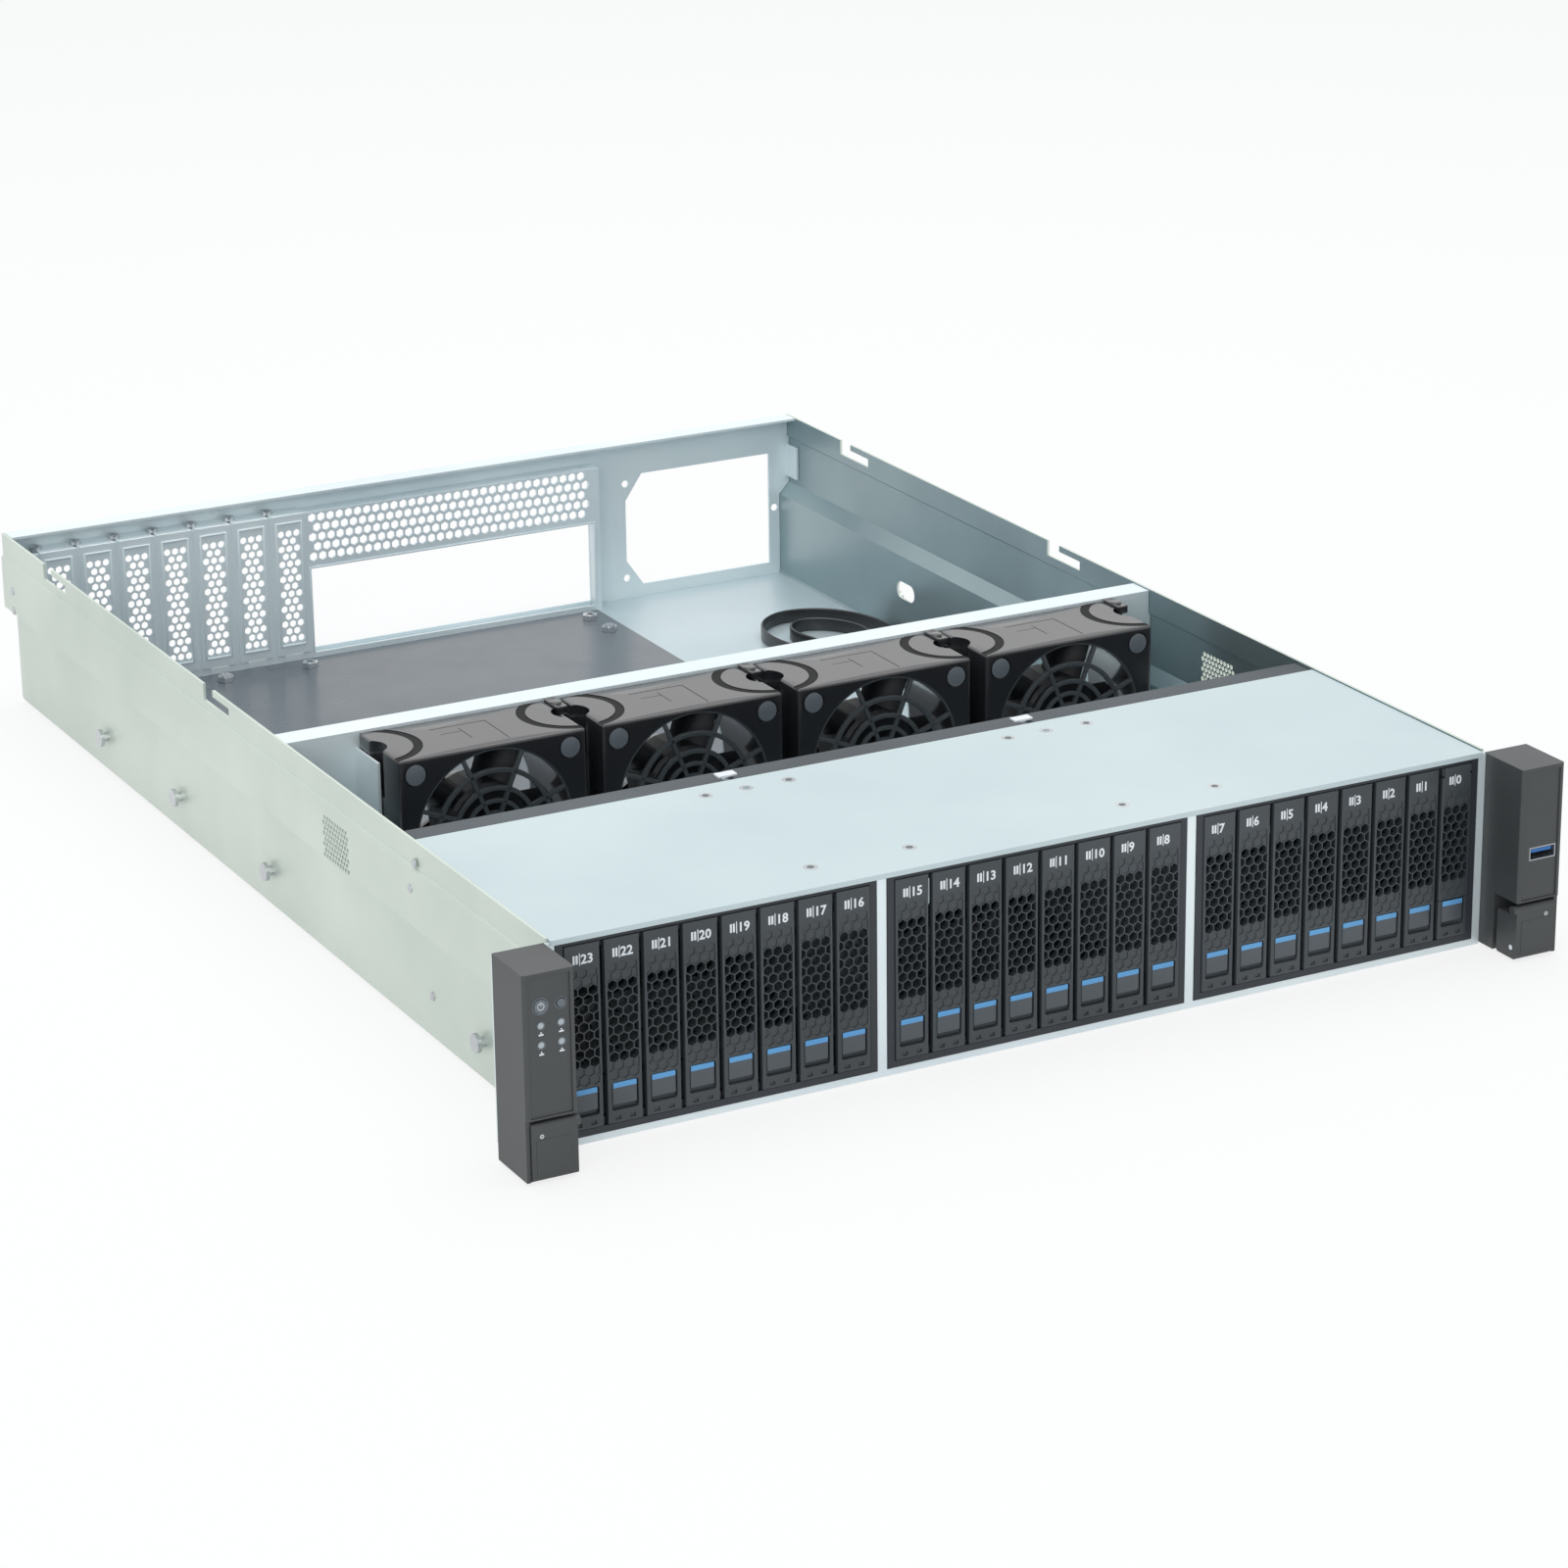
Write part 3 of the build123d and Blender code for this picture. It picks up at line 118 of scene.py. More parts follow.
bare = line.evaluated_get(bpy.context.evaluated_depsgraph_get())
centre_line = [tuple(v.co) for v in bpy.data.meshes.new_from_object(bare).vertices]
bpy.data.objects.remove(line)
bpy.ops.object.select_all(action="DESELECT")
bpy.context.view_layer.objects.active = ribbon
ribbon.select_set(True)
bpy.ops.object.convert(target="MESH")
bpy.ops.object.shade_smooth_by_angle(angle=math.radians(40))

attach(ribbon, "chassis")
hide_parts("cable_tail", "cable_coil")

# %% [markdown]
# ## Light and ground
#
# A white studio: an even surround, one large soft light from above and one from the front
# left. What the camera and the reflections see of the world is plain white. The floor is a
# pale sheet that mostly glows white to the camera and still takes the contact shadow.

# %% White surround
scene = bpy.context.scene
scene.view_settings.view_transform = "Standard"
world = bpy.data.worlds.new("studio")
scene.world = world
world.use_nodes = True


def white_to_camera(tree, plain, strength, target):
    """Mix a plain shader with a white glow that only camera, glossy and clear rays see."""
    seen = tree.nodes.new("ShaderNodeEmission")
    path = tree.nodes.new("ShaderNodeLightPath")
    clear = tree.nodes.new("ShaderNodeMath")
    clear.operation = "MAXIMUM"
    either = tree.nodes.new("ShaderNodeMath")
    either.operation = "MAXIMUM"
    share = tree.nodes.new("ShaderNodeMath")
    share.operation = "MULTIPLY"
    share.inputs[1].default_value = strength
    mix = tree.nodes.new("ShaderNodeMixShader")
    tree.links.new(path.outputs["Is Glossy Ray"], clear.inputs[0])
    tree.links.new(path.outputs["Is Transmission Ray"], clear.inputs[1])
    tree.links.new(clear.outputs[0], either.inputs[0])
    tree.links.new(path.outputs["Is Camera Ray"], either.inputs[1])
    tree.links.new(either.outputs[0], share.inputs[0])
    tree.links.new(share.outputs[0], mix.inputs["Fac"])
    tree.links.new(plain, mix.inputs[1])
    tree.links.new(seen.outputs[0], mix.inputs[2])
    tree.links.new(mix.outputs["Shader"], target)


surround = world.node_tree.nodes["Background"]
surround.inputs["Color"].default_value = (0.84, 0.87, 0.90, 1)
surround.inputs["Strength"].default_value = 0.68
world_surface = world.node_tree.nodes["World Output"].inputs["Surface"]
white_to_camera(world.node_tree, surround.outputs[0], 1.0, world_surface)
print("surround strength", round(surround.inputs["Strength"].default_value, 2))

# %% Two soft lights


def soft_light(name, place, target, width, power):
    """A square area light that faces its target."""
    bpy.ops.object.light_add(type="AREA", location=place)
    lamp = bpy.context.object
    lamp.name = name
    lamp.data.size = width
    lamp.data.energy = power
    lamp.rotation_euler = (Vector(target) - Vector(place)).to_track_quat("-Z", "Y").to_euler()
    return lamp


soft_light("top_light", (0.2, 0.3, 2.2), (0, 0, 0), 2.4, 30)
soft_light("front_light", (-1.6, -2.0, 1.4), (0, 0, 0.04), 1.6, 18)

# %% Pale floor
bpy.ops.object.select_all(action="DESELECT")
bpy.ops.mesh.primitive_plane_add(size=8, location=(0, 0, -0.4 * MM))
studio_floor = bpy.context.object
studio_floor.name = "studio_floor"
paper = bpy.data.materials.new("studio_paper")
paper.use_nodes = True
paper_shader = paper.node_tree.nodes["Principled BSDF"]
paper_shader.inputs["Base Color"].default_value = (0.86, 0.87, 0.88, 1)
paper_shader.inputs["Roughness"].default_value = 0.9
paper_surface = paper.node_tree.nodes["Material Output"].inputs["Surface"]
white_to_camera(paper.node_tree, paper_shader.outputs[0], 0.8, paper_surface)
studio_floor.data.materials.append(paper)
print("floor", [round(v, 1) for v in studio_floor.dimensions])

# %% [markdown]
# ## Finishes
#
# Sheet steel, moulded plastic and rubber differ less in colour than in how their surface
# breaks up the light. One helper builds each finish from two noises: a broad one drifts the
# colour a little, and a fine one varies the roughness and lifts a slight grain. Rolled steel
# stretches its grain along one axis. Everything is placed by Object coordinates, so the
# pattern stays on the piece from any side. The finishes are kept by the names of the slots.

# %% Build a finish


def tone(red, green, blue):
    """A colour read from a screen, as the linear light that a shader takes."""
    linear = []
    for channel in (red, green, blue):
        share = channel / 255
        linear.append(share / 12.92 if channel <= 10 else ((share + 0.055) / 1.055) ** 2.4)
    return (*linear, 1)


def finish_of(name, light, deep, metallic, roughness, grain, lift, drift=9.0, stretch=(1, 1, 1), coat=0.0):
    """A finish whose colour drifts between two tones, with a grain of that many per metre."""
    material = bpy.data.materials.new(name)
    material.use_nodes = True
    tree = material.node_tree
    shader = tree.nodes["Principled BSDF"]
    shader.inputs["Metallic"].default_value = metallic
    shader.inputs["Coat Weight"].default_value = coat
    shader.inputs["Coat Roughness"].default_value = 0.12
    place = tree.nodes.new("ShaderNodeTexCoord")
    turned = tree.nodes.new("ShaderNodeMapping")
    turned.inputs["Scale"].default_value = stretch
    tree.links.new(place.outputs["Object"], turned.inputs["Vector"])
    broad = tree.nodes.new("ShaderNodeTexNoise")
    broad.inputs["Scale"].default_value = drift
    broad.inputs["Detail"].default_value = 3.0
    tree.links.new(place.outputs["Object"], broad.inputs["Vector"])
    fine = tree.nodes.new("ShaderNodeTexNoise")
    fine.inputs["Scale"].default_value = grain
    fine.inputs["Detail"].default_value = 4.0
    tree.links.new(turned.outputs["Vector"], fine.inputs["Vector"])
    tones = tree.nodes.new("ShaderNodeValToRGB")
    tones.color_ramp.elements[0].position = 0.3
    tones.color_ramp.elements[0].color = tone(*deep)
    tones.color_ramp.elements[1].position = 0.7
    tones.color_ramp.elements[1].color = tone(*light)
    tree.links.new(broad.outputs["Fac"], tones.inputs["Fac"])
    tree.links.new(tones.outputs["Color"], shader.inputs["Base Color"])
    rub = tree.nodes.new("ShaderNodeMapRange")
    rub.inputs["To Min"].default_value = roughness - 0.08
    rub.inputs["To Max"].default_value = roughness + 0.08
    tree.links.new(fine.outputs["Fac"], rub.inputs["Value"])
    tree.links.new(rub.outputs["Result"], shader.inputs["Roughness"])
    bump = tree.nodes.new("ShaderNodeBump")
    bump.inputs["Strength"].default_value = 0.5
    bump.inputs["Distance"].default_value = lift
    tree.links.new(fine.outputs["Fac"], bump.inputs["Height"])
    tree.links.new(bump.outputs["Normal"], shader.inputs["Normal"])
    return material


print("the middle grey of a screen is", round(tone(128, 128, 128)[0], 3), "in linear light")

# %% The finishes by slot
rolled_along, rolled_across, ribbed = (1, 0.12, 1), (0.12, 1, 1), (1, 1, 6)
finishes = {
    "body_steel": finish_of(
        "galvanised_body", (218, 227, 217), (199, 210, 201), 0.5, 0.40, 900, 0.00002, stretch=rolled_along
    ),
    "inner_steel": finish_of(
        "galvanised_inner", (238, 248, 250), (222, 234, 238), 0.30, 0.38, 900, 0.00002, stretch=rolled_across
    ),
    "cover_steel": finish_of("painted_cover", (200, 214, 216), (190, 205, 208), 0.15, 0.46, 1400, 0.00001),
    "screw_steel": finish_of("bright_steel", (214, 216, 218), (170, 175, 180), 0.95, 0.28, 2200, 0.00002),
    "standoff_metal": finish_of(
        "nickel_standoff", (232, 236, 238), (196, 202, 206), 0.9, 0.25, 1800, 0.00001
    ),
    "board": finish_of("backplane_board", (38, 66, 58), (28, 50, 46), 0.0, 0.45, 1500, 0.00003),
    "gasket_foam": finish_of("gasket_foam", (92, 98, 102), (70, 76, 80), 0.0, 0.85, 2600, 0.00012),
    "black_plastic": finish_of("moulded_black", (46, 52, 58), (34, 39, 45), 0.0, 0.48, 3200, 0.00003),
    "carrier_plastic": finish_of("carrier_charcoal", (66, 72, 76), (50, 56, 60), 0.0, 0.46, 4200, 0.00004),
    "button_plastic": finish_of("button_charcoal", (82, 89, 94), (70, 77, 82), 0.0, 0.40, 4200, 0.00002),
    "ear_plastic": finish_of("ear_charcoal", (70, 73, 74), (56, 59, 60), 0.0, 0.44, 3600, 0.00003),
    "ear_button": finish_of("ear_button_grey", (104, 112, 118), (88, 96, 102), 0.0, 0.40, 3600, 0.00002),
    "lens": finish_of("lamp_lens", (176, 186, 190), (150, 162, 168), 0.0, 0.22, 1600, 0.00001, coat=0.6),
    "usb_shell": finish_of("socket_shell", (190, 194, 198), (150, 156, 160), 0.9, 0.30, 2400, 0.00001),
    "insulator": finish_of(
        "insulating_film", (102, 111, 118), (80, 88, 95), 0.0, 0.30, 60, 0.00008, drift=4.0, coat=0.2
    ),
    "fan_plastic": finish_of("fan_black", (34, 35, 39), (22, 23, 28), 0.0, 0.36, 3800, 0.00002, coat=0.8),
    "rotor_plastic": finish_of("rotor_black", (34, 37, 41), (24, 27, 31), 0.0, 0.45, 3000, 0.00001),
    "cable_black": finish_of(
        "ribbon_black", (44, 46, 50), (28, 30, 34), 0.0, 0.40, 1800, 0.00004, stretch=ribbed, coat=0.3
    ),
}
print("finishes", len(finishes))

# %% Dress the frame's own parts
for node in nodes.values():
    for place in node.material_slots:
        place.material = finishes[place.material.name.split(".")[0]]
ribbon.data.materials.append(finishes["cable_black"])
# The top of the floor takes a bluer, slightly darker copy of the body steel: light painted onto one face of
# the same sheet.
floor_steel_painted_light = finish_of(
    "galvanised_floor_painted_light", (206, 220, 224), (192, 207, 212), 0.45, 0.36, 900, 0.00002, stretch=rolled_across
)
# The inner faces of the walls take a darker copy of the body steel: painted shade, and the painted reflection
# of the dark interior.
shaded_wall_steel = finish_of(
    "galvanised_wall_painted_shade", (158, 176, 180), (136, 154, 159), 0.75, 0.34, 900, 0.00002, stretch=rolled_along
)
label_white = finish_of("label_white", (236, 240, 242), (218, 224, 228), 0.0, 0.5, 2600, 0.00001)
strip_blue = finish_of("strip_blue", (104, 170, 222), (86, 154, 210), 0.0, 0.4, 2600, 0.00001)
tongue_blue = finish_of("tongue_blue", (52, 120, 190), (40, 104, 172), 0.0, 0.4, 2600, 0.00001)
# Near black: painted shade for the floors of the fan's ring grooves.
painted_shade_black = finish_of("shadow_black", (12, 13, 15), (7, 8, 9), 0.0, 0.9, 2600, 0.00002)
print("slots dressed", sum(len(n.material_slots) for n in nodes.values()))

# %% [markdown]
# ## The workbench
#
# The small hardware is modelled as by hand: a primitive goes in at its size and place, and
# edit-mode tools shape it. These helpers only shorten the steps: they deselect first, because
# an operator acts on all that is selected, and they keep every size in millimetres.

# %% Select and add
smooth_angle = math.radians(32)


def clear_selection():
    """Leave edit mode and select nothing."""
    if bpy.context.object and bpy.context.object.mode == "EDIT":
        bpy.ops.object.mode_set(mode="OBJECT")
    bpy.ops.object.select_all(action="DESELECT")


def take(piece):
    """Make one piece the only selected one."""
    clear_selection()
    bpy.context.view_layer.objects.active = piece
    piece.select_set(True)
    return piece


def block_at(name, x, y, z):
    """A block between two positions on each axis."""
    clear_selection()
    low, high = (Vector((x[i], y[i], z[i])) * MM for i in (0, 1))
    bpy.ops.mesh.primitive_cube_add(size=1, location=(low + high) / 2, scale=high - low)
    piece = bpy.context.object
    piece.name = name
    bpy.ops.object.transform_apply(location=True, rotation=True, scale=True)
    return piece


def rod_at(name, centre, radius, length, axis, sides=24, spin=0.0):
    """A rod with its middle at a place, along x, y or z; spin turns it about its own axis."""
    clear_selection()
    lean = {"x": (0, math.pi / 2, 0), "y": (math.pi / 2, 0, 0), "z": (0, 0, 0)}[axis]
    bpy.ops.mesh.primitive_cylinder_add(
        vertices=sides, radius=radius * MM, depth=length * MM, location=(0, 0, 0), rotation=(0, 0, spin)
    )
    piece = bpy.context.object
    piece.name = name
    bpy.ops.object.transform_apply(location=True, rotation=True, scale=True)
    piece.rotation_euler = lean
    piece.location = Vector(centre) * MM
    bpy.ops.object.transform_apply(location=True, rotation=True, scale=True)
    return piece


print("pieces are added by", block_at.__name__, "and", rod_at.__name__)

# %% Choose faces and edges


def edit_faces(piece, wanted):
    """Enter edit mode with the faces selected whose centre and normal pass the test."""
    take(piece)
    bpy.context.tool_settings.mesh_select_mode = (False, False, True)
    bpy.ops.object.mode_set(mode="EDIT")
    bpy.ops.mesh.select_all(action="DESELECT")
    bpy.ops.object.mode_set(mode="OBJECT")
    for face in piece.data.polygons:
        face.select = bool(wanted(face.center / MM, face.normal))
    bpy.ops.object.mode_set(mode="EDIT")


def edit_edges(piece, wanted):
    """Enter edit mode with the edges selected whose two ends both pass the test."""
    take(piece)
    bpy.context.tool_settings.mesh_select_mode = (False, True, False)
    bpy.ops.object.mode_set(mode="EDIT")
    bpy.ops.mesh.select_all(action="DESELECT")
    bpy.ops.object.mode_set(mode="OBJECT")
    for edge in piece.data.edges:
        edge.select = all(wanted(piece.data.vertices[i].co / MM) for i in edge.vertices)
    bpy.ops.object.mode_set(mode="EDIT")


def inset_step(piece, wanted, rim, step):
    """Inset the chosen faces by a rim, then move them along their normal by a step."""
    edit_faces(piece, wanted)
    bpy.ops.mesh.inset(thickness=rim * MM, depth=0)
    bpy.ops.transform.shrink_fatten(value=step * MM)
    bpy.ops.object.mode_set(mode="OBJECT")


print("faces and edges are chosen by place and normal")

# %% Cut


def cut_out(piece, cutter):
    """Take the cutter's volume away from a piece."""
    take(piece)
    knife = piece.modifiers.new("cut", "BOOLEAN")
    knife.operation = "DIFFERENCE"
    knife.object = cutter
    knife.solver = "EXACT"
    bpy.ops.object.modifier_apply(modifier="cut")
    bpy.data.objects.remove(cutter)
    return piece


def slice_off(piece, point, normal):
    """Bisect a piece at a point, close the cut and drop what lies on the normal's side."""
    take(piece)
    bpy.ops.object.mode_set(mode="EDIT")
    bpy.ops.mesh.select_all(action="SELECT")
    bpy.ops.mesh.bisect(
        plane_co=tuple(v * MM for v in point), plane_no=normal, use_fill=True, clear_outer=True
    )
    bpy.ops.object.mode_set(mode="OBJECT")
    return piece


print("edges stay sharp over", round(math.degrees(smooth_angle)), "degrees")

# %% Join, copy, round and finish


def one_of(pieces, name):
    """Join several pieces into one."""
    clear_selection()
    for piece in pieces:
        piece.select_set(True)
    bpy.context.view_layer.objects.active = pieces[0]
    bpy.ops.object.join()
    pieces[0].name = name
    return pieces[0]


def copy_of(piece, name, shift):
    """A copy with its own mesh, moved by millimetres."""
    twin = piece.copy()
    twin.data = piece.data.copy()
    twin.name = name
    bpy.context.collection.objects.link(twin)
    twin.data.transform(Matrix.Translation(Vector(shift) * MM))
    return twin


def soften(piece, width, segments=2, angle=40):
    """Round the sharp edges and apply the rounding."""
    take(piece)
    rounding = piece.modifiers.new("rounding", "BEVEL")
    rounding.width = width * MM
    rounding.segments = segments
    rounding.limit_method = "ANGLE"
    rounding.angle_limit = math.radians(angle)
    bpy.ops.object.modifier_apply(modifier="rounding")
    return piece


def coat(piece, finish):
    """Give a piece its finish, and shade it smooth except at its edges."""
    piece.data.materials.clear()
    piece.data.materials.append(finish)
    take(piece)
    bpy.ops.object.shade_smooth_by_angle(angle=smooth_angle)
    return piece


def fit(piece, body, slot, *stands_for):
    """Attach a finished piece to its body and hide the parts it stands for; the slot is not used."""
    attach(piece, body)
    if stands_for:
        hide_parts(*stands_for)
    return piece


print("helpers ready")

# %% [markdown]
# ## The body shell
#
# Floor and walls are one bent sheet. Folding a flat strip is how it is made, and here too: a
# plane is the floor, its two long edges are extruded up and out along the joggle for the
# slide rails, the floor bends are bevelled, and Solidify gives the sheet its thickness. The
# vents are small, so a patch of thin rods is cut straight through both walls at once.

# %% Fold the sheet
shell_front, shell_back = -297.8, 325.0
floor_edge, sheet_thick, floor_bend = 214.0, 1.2, 2.8
wall_folds = ((0, 44.5), (6.0, 6.0), (0, 25.5), (-1.0, 1.0), (0, 11.0))
near = 0.001
clear_selection()
bpy.ops.mesh.primitive_plane_add(size=1, location=(0, (shell_front + shell_back) / 2 * MM, 0))
body_shell = bpy.context.object
body_shell.name = "body_shell"
body_shell.scale = (2 * floor_edge * MM, (shell_back - shell_front) * MM, 1)
bpy.ops.object.transform_apply(location=True, rotation=True, scale=True)
for side in (-1, 1):
    edit_edges(body_shell, lambda p: abs(p.x - side * floor_edge) < near and abs(p.z) < near)
    for outward, up in wall_folds:
        step = (side * outward * MM, 0, up * MM)
        bpy.ops.mesh.extrude_edges_move(TRANSFORM_OT_translate={"value": step})
    bpy.ops.object.mode_set(mode="OBJECT")
print("folded sheet", len(body_shell.data.polygons), "faces")

# %% Round the floor bends and give the sheet its thickness
edit_edges(body_shell, lambda p: abs(abs(p.x) - floor_edge) < near and abs(p.z) < near)
bpy.ops.mesh.bevel(offset=floor_bend * MM, segments=4)
bpy.ops.object.mode_set(mode="OBJECT")
thickness = body_shell.modifiers.new("thickness", "SOLIDIFY")
thickness.thickness = sheet_thick * MM
thickness.offset = 1.0
thickness.use_even_offset = True
bpy.ops.object.modifier_apply(modifier="thickness")
edit_faces(body_shell, lambda c, n: True)
bpy.ops.mesh.normals_make_consistent(inside=False)
bpy.ops.object.mode_set(mode="OBJECT")
inside_low = min(v.co.x for v in body_shell.data.vertices if v.co.x > 0.21) / MM
print("shell", len(body_shell.data.polygons), "faces, inner wall at", round(inside_low, 2))

# %% Wall vents
vent_middle, vent_half, vent_base = -94.0, 12.6, 47.2
vent_column, vent_row = 2.8, 2.43
vent_rod = rod_at("wall_vent_rod", (0, vent_middle - vent_half, vent_base), 1.18, 450, "x", 8)
vent_rods = [
    copy_of(vent_rod, "wall_vent_rod", (0, vent_column * (column + row % 2 / 2), vent_row * row))
    for row in range(10) for column in range(10 - row % 2)
]
bpy.data.objects.remove(vent_rod)
cut_out(body_shell, one_of(vent_rods, "wall_vent_rods"))
print("shell with vents", len(body_shell.data.polygons), "faces")

# %% Notches, laps and the oval hole
across_both, notch_long, mouth_from = (-230, 230), 30, 19
for start in (235.0, 26.0):
    end = start + notch_long
    cut_out(body_shell, block_at("notch", across_both, (start, end), (80.5, 85.0)))
    cut_out(body_shell, block_at("notch_mouth", across_both, (start + mouth_from, end), (84.9, 90.0)))
for side in (-1, 1):
    lap = sorted((side * floor_edge, side * 221.0))
    lap_depth = (shell_front - 1, shell_front + sheet_thick)
    cut_out(body_shell, block_at("bracket_lap", lap, lap_depth, (44.5, 84.0)))
oval_y, oval_z, oval_round = 187.0, 27.0, 4.5
for step in (-oval_round, oval_round):
    cut_out(body_shell, rod_at("oval_end", (213.4, oval_y + step, oval_z), oval_round, 6, "x", 32))
oval_span, oval_rise = ((v - oval_round, v + oval_round) for v in (oval_y, oval_z))
cut_out(body_shell, block_at("oval_middle", (210, 217), oval_span, oval_rise))
print("shell with openings", len(body_shell.data.polygons), "faces")

# %% Finish the outside; paint shade inside the walls and light on the floor
body_shell.data.materials.clear()
for finish in (finishes["body_steel"], floor_steel_painted_light, shaded_wall_steel, finishes["inner_steel"]):
    body_shell.data.materials.append(finish)
outside, floor_top, wall_inside, end_face = range(4)
for face in body_shell.data.polygons:
    spot, facing = face.center, face.normal
    face.material_index = outside
    if spot.x * facing.x < 0 and abs(facing.x) > 0.3 and abs(spot.x) > 0.2:
        face.material_index = wall_inside
    elif facing.z > 0.9 and spot.z < 2 * MM:
        face.material_index = floor_top
    elif facing.y < -0.9 and spot.y > 0.3:
        face.material_index = end_face
take(body_shell)
bpy.ops.object.shade_smooth_by_angle(angle=smooth_angle)
fit(body_shell, "chassis", "body_steel", "base_tray")
print("shell box", [round(v / MM, 1) for v in body_shell.dimensions])

# %% [markdown]
# ## Drive carriers
#
# Each bay takes a carrier with a charcoal plastic face: a number at the top, a field of
# hexagonal air holes between rows of blind ones, and a release button with a blue strip over
# its edge. One face is made and copied. The holes could be a texture, but they are deep and
# the light falls into them, so hexagonal rods are cut out of the face. Half hexagons at the
# field's edge are whole ones, bisected.

# %% Rows of hexagons
face_width, face_front, face_back, face_base, face_top = 15.0, -300.0, -297.0, 6.3, 83.5
hex_column, hex_row, hex_radius = 4.33, 3.75, 2.24
field_edge = 6.45


def hex_rods(rows, front_y, back_y):
    """Hexagonal rods in staggered rows, trimmed to the field; each row is (z, shifted)."""
    rods = []
    for height, shifted in rows:
        columns = (-1.5, -0.5, 0.5, 1.5) if shifted else (-1, 0, 1)
        for column in columns:
            place = (column * hex_column, (front_y + back_y) / 2, height)
            rods.append(rod_at("hex_rod", place, hex_radius, back_y - front_y, "y", 6))
    field = one_of(rods, "hex_field")
    for side in (-1, 1):
        slice_off(field, (side * field_edge, 0, 0), (side, 0, 0))
    return field


open_rows = [(34.0 + hex_row * row, row % 2 == 1) for row in range(9)]
blind_rows = [(67.75, True), (71.5, False), (30.25, True), (26.5, False)]
print("open rows", len(open_rows), "blind rows", len(blind_rows))

# %% Carrier face
half_width, face_depth = face_width / 2, (face_front, face_back)
carrier_face = block_at("carrier_face", (-half_width, half_width), face_depth, (face_base, face_top))
soften(carrier_face, 0.35, 2)
cut_out(carrier_face, hex_rods(open_rows, face_front - 1, face_back + 1))
cut_out(carrier_face, hex_rods(blind_rows, face_front - 1, face_front + 0.4))
pocket = block_at("pocket", (-5.8, 5.8), (face_front - 1, face_front + 2.3), (11.6, 23.6))
cut_out(carrier_face, soften(pocket, 1.0, 3))
window_depth = (face_front - 1, face_front + 0.6)
windows = [block_at("window", (x, x + 2.4), window_depth, (7.6, 9.2)) for x in (-4.4, 2.0)]
cut_out(carrier_face, one_of(windows, "windows"))
print("carrier face", len(carrier_face.data.polygons), "faces")

# %% Button, strip and sled
button_depth, strip_depth = ((face_front + a, face_front + b) for a, b in ((0.1, 2.2), (0.02, 0.6)))
release_button = block_at("release_button", (-5.4, 5.4), button_depth, (13.6, 23.4))
soften(release_button, 0.7, 3)
button_strip = block_at("button_strip", (-5.1, 5.1), strip_depth, (20.9, 23.2))
soften(button_strip, 0.25, 2)
coat(release_button, finishes["button_plastic"])
coat(button_strip, strip_blue)
sled_rails = []
for low, high in ((6.3, 9.5), (80.3, 83.5)):
    rail = block_at("sled_rail", (-7.2, 7.2), (-297.0, -187.0), (low, high))
    inset_step(rail, lambda c, n: abs(n.x) > 0.9, 0.8, -0.5)
    sled_rails.append(soften(rail, 0.3, 1))
carrier_sled = coat(one_of(sled_rails, "carrier_sled"), finishes["carrier_plastic"])
coat(carrier_face, finishes["carrier_plastic"])
print("button and sled", len(release_button.data.polygons) + len(carrier_sled.data.polygons), "faces")

# %% [markdown]
# ### The bay numbers
#
# Plain numbers count the bays from the right. A text object gives the figures; it is made a
# mesh first, then stood up and moved onto the face. Two thin bars mark the drive beside it.

# %% Bay label


def bay_label(number):
    """A number with two small bars on its left, lying on the front of a carrier face."""
    clear_selection()
    bpy.ops.object.text_add(location=(0, 0, 0))
    figures = bpy.context.object
    figures.data.body = str(number)
    figures.data.size = 5.4 * MM
    figures.data.extrude = 0.03 * MM
    figures.data.offset = 0.14 * MM
    figures.data.resolution_u = 2
    bpy.ops.object.convert(target="MESH")
    figures.rotation_euler = (math.pi / 2, 0, 0)
    figures.location = Vector((-0.6, face_front, 75.6)) * MM
    bpy.ops.object.transform_apply(location=True, rotation=True, scale=True)
    bars = []
    for left, right, low in ((-4.0, -3.1, 75.7), (-2.7, -1.8, 75.7), (-1.25, -0.85, 75.0)):
        bar = block_at("bar", (left, right), (face_front - 0.03, face_front + 0.03), (low, 155.0 - low))
        bars.append(soften(bar, 0.02, 1))
    return coat(one_of([figures] + bars, f"bay_label_{number:02d}"), label_white)


print("labels lie on the face at", face_front, "mm")

# %% Number and copy the carriers
group_pitch, bay_pitch = 145.1667, 16.9521
bay_centres = [(g - 1) * group_pitch + (b - 3.5) * bay_pitch for g in range(3) for b in range(8)]
for index, centre in enumerate(bay_centres):
    number = 23 - index
    label = bay_label(number)
    label.data.transform(Matrix.Translation((centre * MM, 0, 0)))
    if number == 0:
        fit(label, "lever_00", "carrier_plastic")
        continue
    body = f"carrier_{number:02d}"
    for part, slot in (
        (carrier_face, "carrier_plastic"), (carrier_sled, "carrier_plastic"),
        (release_button, "button_plastic"), (button_strip, "button_plastic"),
    ):
        twin = copy_of(part, f"{part.name}_{number:02d}", (centre, 0, 0))
        fit(twin, body, slot, *([body] if part is carrier_face else []))
    fit(label, body, "carrier_plastic")
print("carriers dressed", len(bay_centres) - 1)

# %% [markdown]
# ### The carrier in the last bay
#
# Bay 0 shows how a carrier works: its button frees the lever, which swings up on two stub
# pins. The same face is bisected above the button. The upper part becomes the lever, notched
# where the cheeks of the frame hold its pins, and the lower part stays with the frame. A well
# behind the button gives it room to go in.

